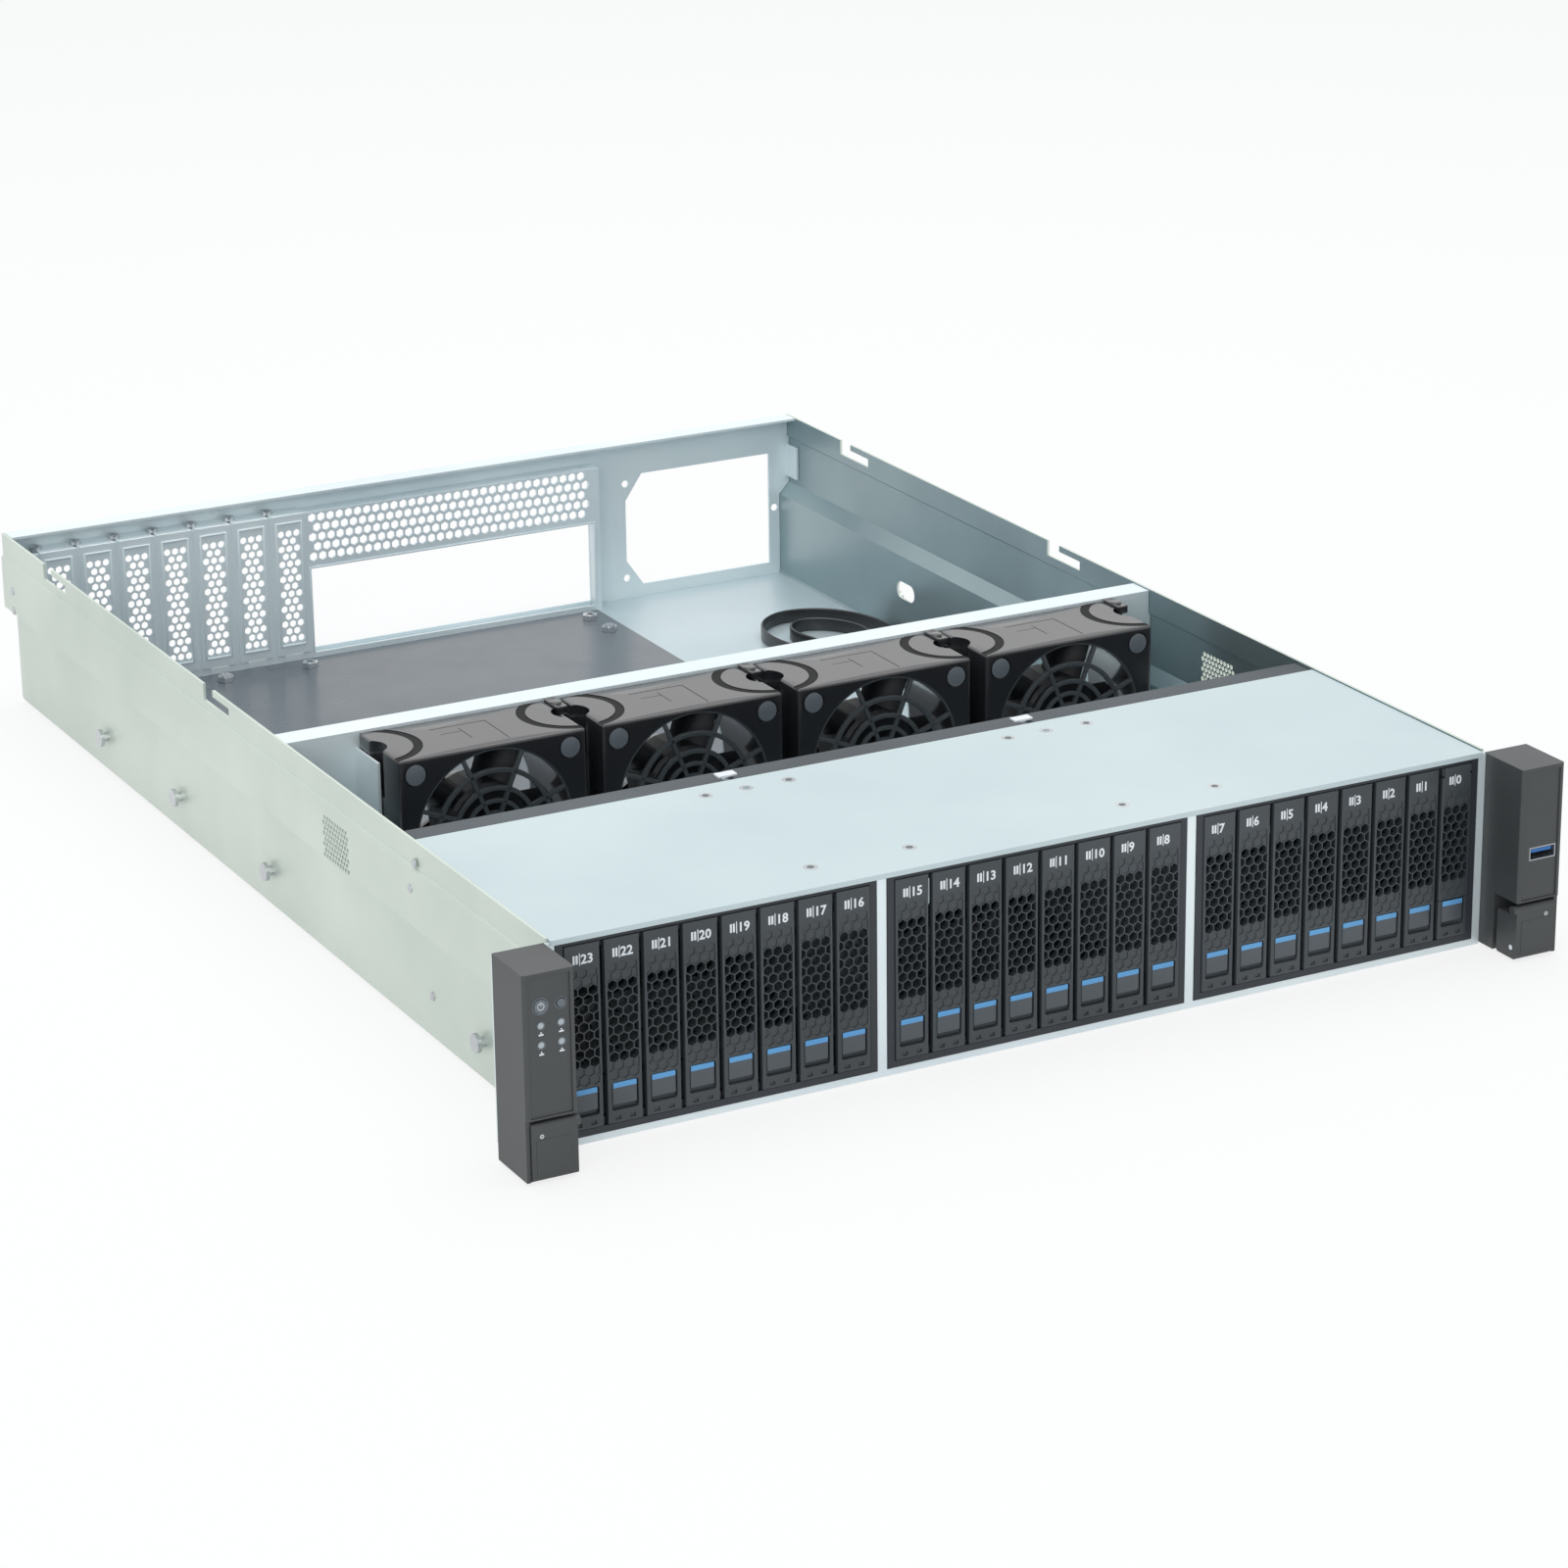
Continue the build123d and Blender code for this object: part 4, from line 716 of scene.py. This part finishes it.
# %% Split the last face into lever and catch
last_x = bay_centres[-1]
in_place = (0, 0, 0)
lever_face = slice_off(copy_of(carrier_face, "lever_face", in_place), (0, 0, 23.95), (0, 0, -1))
for side in (-1, 1):
    notch = block_at("notch", sorted((side * 6.5, side * 8.0)), (face_front - 1, face_back + 1), (79.2, 84.5))
    cut_out(lever_face, notch)
pins = rod_at("pins", (0, -298.5, 82.0), 0.58, 14.8, "x", 12)
lever_face = one_of([lever_face, soften(pins, 0.1, 1)], "lever_face")
well_width, well_rise = (-5.6, 5.6), (13.4, 23.5)
catch_face = slice_off(copy_of(carrier_face, "catch_face", in_place), (0, 0, 23.65), (0, 0, 1))
cut_out(catch_face, block_at("button_well", well_width, (-298.5, -295.0), well_rise))
print("lever", len(lever_face.data.polygons), "faces, catch", len(catch_face.data.polygons), "faces")

# %% Frame, cheeks and button of the last carrier
back_frame = block_at("back_frame", (-7.2, 7.2), (-296.7, -294.1), (6.4, 83.4))
cut_out(back_frame, block_at("back_opening", (-5.0, 5.0), (-299, -292), (32.5, 65.0)))
cut_out(back_frame, block_at("button_well", well_width, (-298.5, -295.3), well_rise))
cheeks = [
    block_at("cheek", sorted((side * 6.75, side * 7.45)), (-299.9, -296.0), (80.1, 83.4))
    for side in (-1, 1)
]
for cheek in cheeks:
    soften(cheek, 0.2, 1)
catch_frame = one_of([catch_face, soften(back_frame, 0.2, 1)] + cheeks, "catch_frame")
catch_sled = copy_of(carrier_sled, "catch_sled", in_place)
button_twin = copy_of(release_button, "release_button_00", in_place)
strip_twin = copy_of(button_strip, "button_strip_00", in_place)
for part, body, slot, stands in (
    (lever_face, "lever_00", "carrier_plastic", "lever_00"),
    (catch_frame, "carrier_00", "carrier_plastic", "carrier_00"),
    (catch_sled, "carrier_00", "carrier_plastic", None),
    (button_twin, "button_00", "button_plastic", "button_00"),
    (strip_twin, "button_00", "button_plastic", None),
):
    part.data.transform(Matrix.Translation((last_x * MM, 0, 0)))
    if part.name.startswith(("lever", "catch")):
        coat(part, finishes["carrier_plastic"])
    fit(part, body, slot, *([stands] if stands else []))
for pattern in (carrier_face, carrier_sled, release_button, button_strip):
    bpy.data.objects.remove(pattern)
print("last carrier dressed at x", round(last_x, 2))

# %% [markdown]
# ## Hot-swap fan modules
#
# A module is a glossy black housing round a bored duct, with a wire-like moulded guard in
# front, round plugs in the upper corners, a ring groove round each finger hole in the top and
# a springy latch at the rear. The housing starts as a block and is bored and grooved by
# cutting, and its guard is made of rings extruded from circles and thin spokes. One module
# is made at the left end of the row and copied to the four places.

# %% Housing
module_centres = (-140.0, -44.0, 52.0, 148.0)
bore_height, bore_radius = 47.95, 36.8
front_y, back_y = -79.5, -36.5
fan_x = module_centres[0]
hole_reach, hole_y = 48, -55.5
plug_reach, plug_z = 36.4, 79.0
bore_place = (fan_x, -58, bore_height)


def flat_ring(name, centre, outer, inner, depth, axis, sides=48):
    """A ring with a square section, grown from a circle of edges."""
    clear_selection()
    lean = (math.pi / 2, 0, 0) if axis == "y" else (0, 0, 0)
    middle = Vector(centre) * MM
    bpy.ops.mesh.primitive_circle_add(vertices=sides, radius=outer * MM, location=middle, rotation=lean)
    piece = bpy.context.object
    piece.name = name
    bpy.ops.object.transform_apply(location=True, rotation=True, scale=True)
    bpy.ops.object.mode_set(mode="EDIT")
    bpy.ops.mesh.select_all(action="SELECT")
    bpy.ops.mesh.extrude_edges_move()
    share = inner / outer
    bpy.ops.transform.resize(value=(share, share, share), center_override=middle)
    bpy.ops.mesh.select_all(action="SELECT")
    along = (0, depth * MM, 0) if axis == "y" else (0, 0, depth * MM)
    bpy.ops.mesh.extrude_region_move(TRANSFORM_OT_translate={"value": along})
    bpy.ops.mesh.select_all(action="SELECT")
    bpy.ops.mesh.normals_make_consistent(inside=False)
    bpy.ops.object.mode_set(mode="OBJECT")
    return piece


housing = block_at("fan_housing", (fan_x - 44, fan_x + 44), (front_y, back_y), (2.7, 86.4))
soften(housing, 1.2, 3)
cut_out(housing, rod_at("bore", bore_place, bore_radius, 50, "y", 72))
for side in (-1, 1):
    hole_x, plug_place = fan_x + side * hole_reach, (fan_x + side * plug_reach, front_y - 1, plug_z)
    cut_out(housing, rod_at("finger_hole", (hole_x, hole_y, 80), 8.5, 30, "z", 40))
    cut_out(housing, flat_ring("groove", (hole_x, hole_y, 85.9), 23.8, 19.6, 2, "z", 64))
    cut_out(housing, flat_ring("plug_groove", plug_place, 5.3, 4.7, 1.6, "y", 28))
print("housing", len(housing.data.polygons), "faces")

# %% Score lines on the top
for across, back in (
    ((10, 10.5), (-74, -48)), ((-16, 10.2), (-48.4, -47.9)),
    ((-4, -3.6), (-66, -52)), ((-14, -4), (-56.2, -55.8)),
):
    cut_out(housing, block_at("score", [fan_x + x for x in across], back, (86.2, 87)))
coat(housing, finishes["fan_plastic"])
print("housing with scores", len(housing.data.polygons), "faces")

# %% Guard


def swing(bar, degrees):
    """Turn a bar that lies along x about the fan's axis."""
    bar.data.transform(Matrix.Rotation(-math.radians(degrees), 4, "Y"))
    bar.data.transform(Matrix.Translation((fan_x * MM, 0, bore_height * MM)))
    return bar


guard_parts = []
guard_place = (fan_x, front_y + 0.05, bore_height)
for outer, inner in ((37.8, 35.9), (27.8, 25.6), (19.6, 17.5), (13.8, 11.9)):
    ring = flat_ring("guard_ring", guard_place, outer, inner, 1.9, "y", 64)
    guard_parts.append(soften(ring, 0.35, 2))
for spoke in range(8):
    bar = block_at("spoke", (7.0, 36.4), (front_y + 0.05, front_y + 2.0), (-0.95, 0.95))
    guard_parts.append(swing(soften(bar, 0.3, 2), 45 * spoke + 22.5))
hub_cap = rod_at("hub_cap", (fan_x, front_y + 1.0, bore_height), 8.4, 1.9, "y", 40)
inset_step(hub_cap, lambda c, n: n.y < -0.9, 1.4, -0.5)
guard_parts.append(soften(hub_cap, 0.25, 2))
# The guard takes the lighter carrier charcoal rather than the housing black: a painted highlight along its
# rings and spokes.
guard = coat(one_of(guard_parts, "fan_guard"), finishes["carrier_plastic"])
print("guard", len(guard.data.polygons), "faces")

# %% Painted shade on the floors of the ring grooves
ring_shade_parts = []
for side in (-1, 1):
    ring_place = (fan_x + side * hole_reach, hole_y, 85.95)
    # A thin near-black ring on each groove floor is painted shade: the groove is dark because little light
    # reaches into it.
    dark = flat_ring("groove_shade_ring", ring_place, 23.7, 19.7, 0.12, "z", 64)
    ring_shade_parts.append(slice_off(dark, (fan_x + side * 43.9, 0, 0), (side, 0, 0)))
ring_shade_floors = coat(one_of(ring_shade_parts, "fan_ring_floors"), painted_shade_black)
print("dark rings", len(ring_shade_floors.data.polygons), "faces")

# %% Motor seat and struts
motor_parts = [soften(rod_at("motor_seat", (fan_x, -40.2, bore_height), 13.8, 7.2, "y", 48), 0.6, 2)]
for arm in range(4):
    strut = block_at("strut", (12.0, 37.2), (-39.9, -36.9), (-1.5, 1.5))
    motor_parts.append(swing(soften(strut, 0.4, 2), 90 * arm + 30))
motor = coat(one_of(motor_parts, "fan_motor_seat"), finishes["fan_plastic"])
print("motor seat", len(motor.data.polygons), "faces")

# %% Latch and corner plugs
latch_x = fan_x + 44.0
latch_arm = block_at("latch_arm", (latch_x, fan_x + 46.4), (-50.5, -38.5), (30.0, 83.4))
inset_step(latch_arm, lambda c, n: n.x > 0.9, 1.6, -0.6)
latch_hook = block_at("latch_hook", (latch_x, fan_x + 49.4), (-50.5, -36.5), (83.4, 87.6))
inset_step(latch_hook, lambda c, n: n.z > 0.9, 1.2, -0.5)
latch_grip = rod_at("latch_grip", (fan_x + 46.7, -43.6, 86.8), 2.7, 1.8, "z", 24)
latch_parts = [soften(latch_arm, 0.5, 2), soften(latch_hook, 0.8, 3), soften(latch_grip, 0.5, 2)]
latch = coat(one_of(latch_parts, "fan_latch"), finishes["fan_plastic"])
plugs = [
    rod_at("plug", (fan_x + side * plug_reach, front_y - 0.05, plug_z), 4.6, 0.6, "y", 28)
    for side in (-1, 1)
]
# The plugs are dark plastic; the lighter button grey on them is painted light, for faces that the front light
# leaves dark.
corner_plugs_painted_light = coat(soften(one_of(plugs, "corner_plugs_painted_light"), 0.2, 2), finishes["ear_button"])
print("latch", len(latch.data.polygons), "faces")

# %% Copy the module to its four places
for number, centre in enumerate(module_centres, start=1):
    for part in (housing, guard, ring_shade_floors, motor, latch, corner_plugs_painted_light):
        twin = copy_of(part, f"{part.name}_{number}", (centre - fan_x, 0, 0))
        stands = [f"fan_module_{number}"] if part is housing else []
        fit(twin, f"fan_{number}", "fan_plastic", *stands)
for pattern in (housing, guard, ring_shade_floors, motor, latch, corner_plugs_painted_light):
    bpy.data.objects.remove(pattern)
print("fan modules", len(module_centres))

# %% [markdown]
# ## The recessed rear panel
#
# Behind the system board stands a bent sheet with a long opening for the sockets, a band of
# small staggered hexagons above it and seven slots, each closed by a ribbed cover. The band
# has well over a hundred holes, so the rods that cut it are copies of one rod, joined before
# a single cut. The covers are one cover, copied along the row.

# %% Sheet with its band of hexagons
panel_face, panel_width, through = 313.0, (-211.2, 100.9), (310, 318)
panel_depth, opening_width = (panel_face, panel_face + sheet_thick), (-61.6, 97.15)
slot_count, slot_pitch = 7, 20.32
slot_lefts = [-204.4 + slot_pitch * slot for slot in range(slot_count)]
io_sheet = block_at("io_sheet", panel_width, panel_depth, (1.2, 78.0))
cut_out(io_sheet, block_at("socket_opening", opening_width, through, (4.0, 48.45)))
for left in slot_lefts:
    cut_out(io_sheet, block_at("slot_opening", (left + 2.0, left + 16.4), through, (8.0, 74.0)))
band_column, band_row = 5.02, 5.1
first_rod = rod_at("band_rod", (-60.0, panel_face + 0.5, 54.6), 2.38, 6, "y", 6)
band = [
    copy_of(first_rod, "band_rod", (band_column * (column + row % 2 / 2), 0, band_row * row))
    for row in range(5) for column in range(31)
]
bpy.data.objects.remove(first_rod)
cut_out(io_sheet, one_of(band, "band_rods"))
print("panel with band", len(io_sheet.data.polygons), "faces")

# %% Ledge, end plate and lips
return_depth, lip_depth = (panel_depth[1] - 0.1, 323.8), (panel_face - 0.6, panel_face + 0.1)
ledge = block_at("ledge", panel_width, return_depth, (76.8, 78.0))
end_plate = block_at("end_plate", (99.7, 100.9), return_depth, (1.2, 76.9))
frame_lip = [
    block_at("opening_lip", opening_width, lip_depth, (48.5, 49.5)),
    block_at("opening_lip", (-62.8, -61.7), lip_depth, (4.0, 49.5)),
    block_at("opening_lip", (97.2, 98.3), lip_depth, (4.0, 49.5)),
]
for part in [ledge, end_plate] + frame_lip:
    soften(part, 0.3, 2)
io_sheet = coat(one_of([io_sheet, ledge, end_plate] + frame_lip, "io_sheet"), finishes["inner_steel"])
fit(io_sheet, "chassis", "inner_steel", "io_panel")
print("panel", len(io_sheet.data.polygons), "faces")

# %% Slot cover and its holes
cover_width, cover_depth, rib_depth = (0, 18.4), (312.2, panel_face), (311.5, 312.3)
cover = block_at("slot_cover", cover_width, cover_depth, (5.0, 78.7))
soften(cover, 0.2, 1)
hole_column, hole_row = 4.2, 3.95
vent_rod = rod_at("vent_rod", (9.2, 312.6, 13.6), 1.9, 4, "y", 6)
vents = [
    copy_of(vent_rod, "vent_rod", (hole_column * (column - 1 + row % 2 / 2), 0, hole_row * row))
    for row in range(15) for column in range(3 - row % 2)
]
bpy.data.objects.remove(vent_rod)
cut_out(cover, one_of(vents, "vent_rods"))
print("cover with holes", len(cover.data.polygons), "faces")

# %% Rim, tab and foot of the cover
rim_parts = [
    soften(block_at("rib", across, rib_depth, rise), 0.35, 2)
    for across, rise in (
        ((1.9, 2.9), (9.6, 75.0)), ((15.5, 16.5), (9.6, 75.0)),
        ((2.8, 15.6), (9.6, 10.6)), ((2.8, 15.6), (74.0, 75.0)),
    )
]
tab = block_at("tab", cover_width, (312.3, 323.0), (78.0, 78.8))
cut_out(tab, rod_at("tab_notch", (0, 319.0, 78.4), 1.8, 4, "z", 20))
foot = block_at("foot", (4.2, 14.2), cover_depth, (1.3, 5.1))
cover_parts = [cover, soften(tab, 0.2, 1), soften(foot, 0.2, 1)] + rim_parts
cover = coat(one_of(cover_parts, "slot_cover"), finishes["inner_steel"])
print("cover with rim", len(cover.data.polygons), "faces")

# %% Copy the covers
for slot, left in enumerate(slot_lefts):
    twin = copy_of(cover, f"slot_cover_{slot}", (left, 0, 0))
    fit(twin, "chassis", "body_steel", *(["slot_covers"] if slot == 0 else []))
bpy.data.objects.remove(cover)
print("slot covers", len(slot_lefts))

# %% [markdown]
# ## Screws, rivets and clips
#
# A flat disc reads as a sticker. Each screw head is a rod whose top is inset and sunk for the
# rim, with a cross cut in it; each rivet is a rod whose top is inset and raised, so that it
# has a dome.

# %% Screw head and rivet


def screw_head(name, place, radius, height, axis, outward):
    """A low head with a sunk middle and a cross recess, facing along its axis."""
    head = rod_at(name, place, radius, height, axis, 28)
    index = "xyz".index(axis)
    inset_step(head, lambda c, n: n[index] * outward > 0.9, radius * 0.22, -height * 0.15)
    top = list(place)
    top[index] += outward * height / 2
    for reach in ([0.55, 0.16], [0.16, 0.55]):
        sizes = [radius * share for share in reach]
        sizes.insert(index, height * 0.6)
        spans = [(middle - size, middle + size) for middle, size in zip(top, sizes)]
        cut_out(head, block_at("cross", *spans))
    return soften(head, radius * 0.06, 1)


def rivet(name, place, radius, height, axis, outward):
    """A domed rivet, facing along its axis."""
    head = rod_at(name, place, radius, height, axis, 20)
    index = "xyz".index(axis)
    inset_step(head, lambda c, n: n[index] * outward > 0.9, radius * 0.3, height * 0.35)
    inset_step(head, lambda c, n: n[index] * outward > 0.9, radius * 0.3, height * 0.15)
    return head


print("heads are made by", screw_head.__name__, "and", rivet.__name__)

# %% Slot screws
slot_screw = screw_head("slot_screw", (slot_lefts[0], 319.0, 79.7), 3.0, 1.8, "z", 1)
slot_screw_set = [
    copy_of(slot_screw, "slot_screw", (slot_pitch * slot, 0, 0)) for slot in range(slot_count)
]
bpy.data.objects.remove(slot_screw)
slot_screw_set = coat(one_of(slot_screw_set, "slot_screw_set"), finishes["screw_steel"])
fit(slot_screw_set, "chassis", "screw_steel", "slot_screws")
print("slot screws", len(slot_screw_set.data.polygons), "faces")

# %% Standoff mouths and screws
bare_standoffs = ((87.2, 299.0), (-70.28, 299.0), (87.2, 144.06), (-70.28, 144.06))
screwed_standoffs = (
    (-116.0, 299.0), (87.2, 276.14), (-194.74, 144.06), (87.2, 71.67), (-70.28, 71.67), (-194.74, 71.67),
)
board_screws = [
    flat_ring("standoff_mouth", (*place, 4.3), 2.6, 1.5, 0.35, "z", 24) for place in bare_standoffs
] + [
    screw_head("support_screw", (*place, 4.7), 3.0, 0.8, "z", 1) for place in screwed_standoffs
]
board_screws = coat(one_of(board_screws, "board_screws"), finishes["screw_steel"])
fit(board_screws, "chassis", "standoff_metal")
print("standoff tops", len(board_screws.data.polygons), "faces")

# %% Rivets
rivet_places = ((122.6, 79.0), (127.6, 66.7), (14.0, 70.0), (610.0, 62.0), (610.0, 52.0))
side_rivets = [
    rivet("wall_rivet", (side * 220.0, body_front + depth, height), 2.0, 0.7, "x", side)
    for side in (-1, 1) for depth, height in rivet_places
]
side_rivets.append(rivet("wall_rivet", (-floor_edge, body_front + 122.6, 20.0), 2.0, 0.7, "x", -1))
rear_rivets = [
    rivet("rear_rivet", (across, 318.5, 87.5), 1.8, 0.5, "z", 1) for across in (-205, 0, 110, 208)
]
rivets = coat(one_of(side_rivets + rear_rivets, "wall_rivets"), finishes["screw_steel"])
fit(rivets, "chassis", "screw_steel")
print("rivets", len(rivets.data.polygons), "faces")

# %% Dimples in the cage cover
dimples = []
for divider in (-72.58, 72.58):
    for row, offsets in ((115.0, (-19.0, 0.0, 20.0)), (20.0, (-21.0, 24.0))):
        for offset in offsets:
            place = (divider + offset, body_front + row, 87.32)
            dimples.append(flat_ring("dimple", place, 3.1, 1.55, 0.12, "z", 24))
dimples = coat(one_of(dimples, "cover_dimples"), finishes["screw_steel"])
fit(dimples, "chassis", "screw_steel")
print("dimples", len(dimples.data.polygons), "faces")

# %% Shelf clips
clips = []
for across in (-72.0, 72.0):
    clip = block_at("shelf_clip", (across - 4.5, across + 4.5), (-166.5, -161.5), (86.5, 87.6))
    inset_step(clip, lambda c, n: n.z > 0.9, 1.2, -0.4)
    clips.append(soften(clip, 0.3, 2))
clips = coat(one_of(clips, "shelf_clips"), label_white)
fit(clips, "chassis", "gasket_foam")
print("clips", len(clips.data.polygons), "faces")

# %% [markdown]
# ## Ear details
#
# The left ear has a power button with a bright ring, a small reset button and four lamps with
# plain marks under them. The right ear has a socket with a blue tongue. Each foot is a lift
# latch with a framed face and a small screw. The marks are simple bars, because the real ones
# are only small symbols.

# %% Rims
outer_column, inner_column, button_row = -233.9, -225.4, 72.7
rim_y, mark_depth = -324.55, (-324.5, -324.38)
ear_parts = [
    flat_ring("power_rim", (outer_column, rim_y, button_row), 3.5, 3.0, 0.25, "y", 40),
    flat_ring("reset_rim", (inner_column, rim_y, button_row), 2.5, 2.1, 0.25, "y", 32),
]
for across in (outer_column, inner_column):
    for height in (64.7, 56.8):
        ear_parts.append(flat_ring("lamp_rim", (across, rim_y, height), 1.75, 1.35, 0.25, "y", 24))
ear_rims = coat(one_of(ear_parts, "ear_rims"), finishes["ear_button"])
fit(ear_rims, "chassis", "ear_button")
print("rims", len(ear_parts))

# %% Marks
marks = []
for across in (outer_column, inner_column):
    for height in (61.0, 53.0):
        for half, rise in ((1.0, (-0.3, 0.3)), (0.3, (0.5, 1.1))):
            span = (across - half, across + half)
            marks.append(block_at("mark", span, mark_depth, [height + v for v in rise]))
ear_marks = coat(one_of(marks, "ear_marks"), label_white)
fit(ear_marks, "chassis", "lens")
print("ear marks", len(marks))

# %% Power symbol
power_ring = flat_ring("power_symbol", (outer_column, -325.0, button_row), 1.5, 1.15, 0.12, "y", 32)
power_bar = block_at("power_symbol_bar", (-234.1, -233.7), (-325.0, -324.9), (72.9, 74.6))
power_symbol = coat(one_of([power_ring, power_bar], "power_symbol"), label_white)
fit(power_symbol, "power_button", "ear_button")
print("power symbol", len(power_symbol.data.polygons), "faces")

# %% Socket tongue
tongue = block_at("socket_tongue", (226.75, 237.15), (-323.6, -312.6), (47.9, 49.5))
inset_step(tongue, lambda c, n: n.y < -0.9, 0.3, -0.3)
socket_tongue = coat(soften(tongue, 0.2, 2), tongue_blue)
fit(socket_tongue, "chassis", "usb_shell")
print("socket tongue", len(socket_tongue.data.polygons), "faces")

# %% Latch faces
for side, body in ((-1, "left_latch"), (1, "right_latch")):
    low, high = sorted((side * 222.4, side * 237.4))
    panel = block_at("latch_panel", (low, high), (-325.0, -324.6), (3.2, 18.2))
    inset_step(panel, lambda c, n: n.y < -0.9, 1.1, -0.25)
    screw = screw_head("latch_screw", (side * 235.0, -324.75, 19.6), 0.9, 0.3, "y", -1)
    coat(soften(panel, 0.15, 2), finishes["ear_plastic"])
    panel.name = f"{body}_panel"
    fit(panel, body, "ear_plastic")
    coat(screw, finishes["screw_steel"])
    screw.name = f"{body}_screw"
    fit(screw, body, "screw_steel")
print("latches faced, the last on", body)

# %% [markdown]
# ## Closing

# %% Closing
print("script finished")
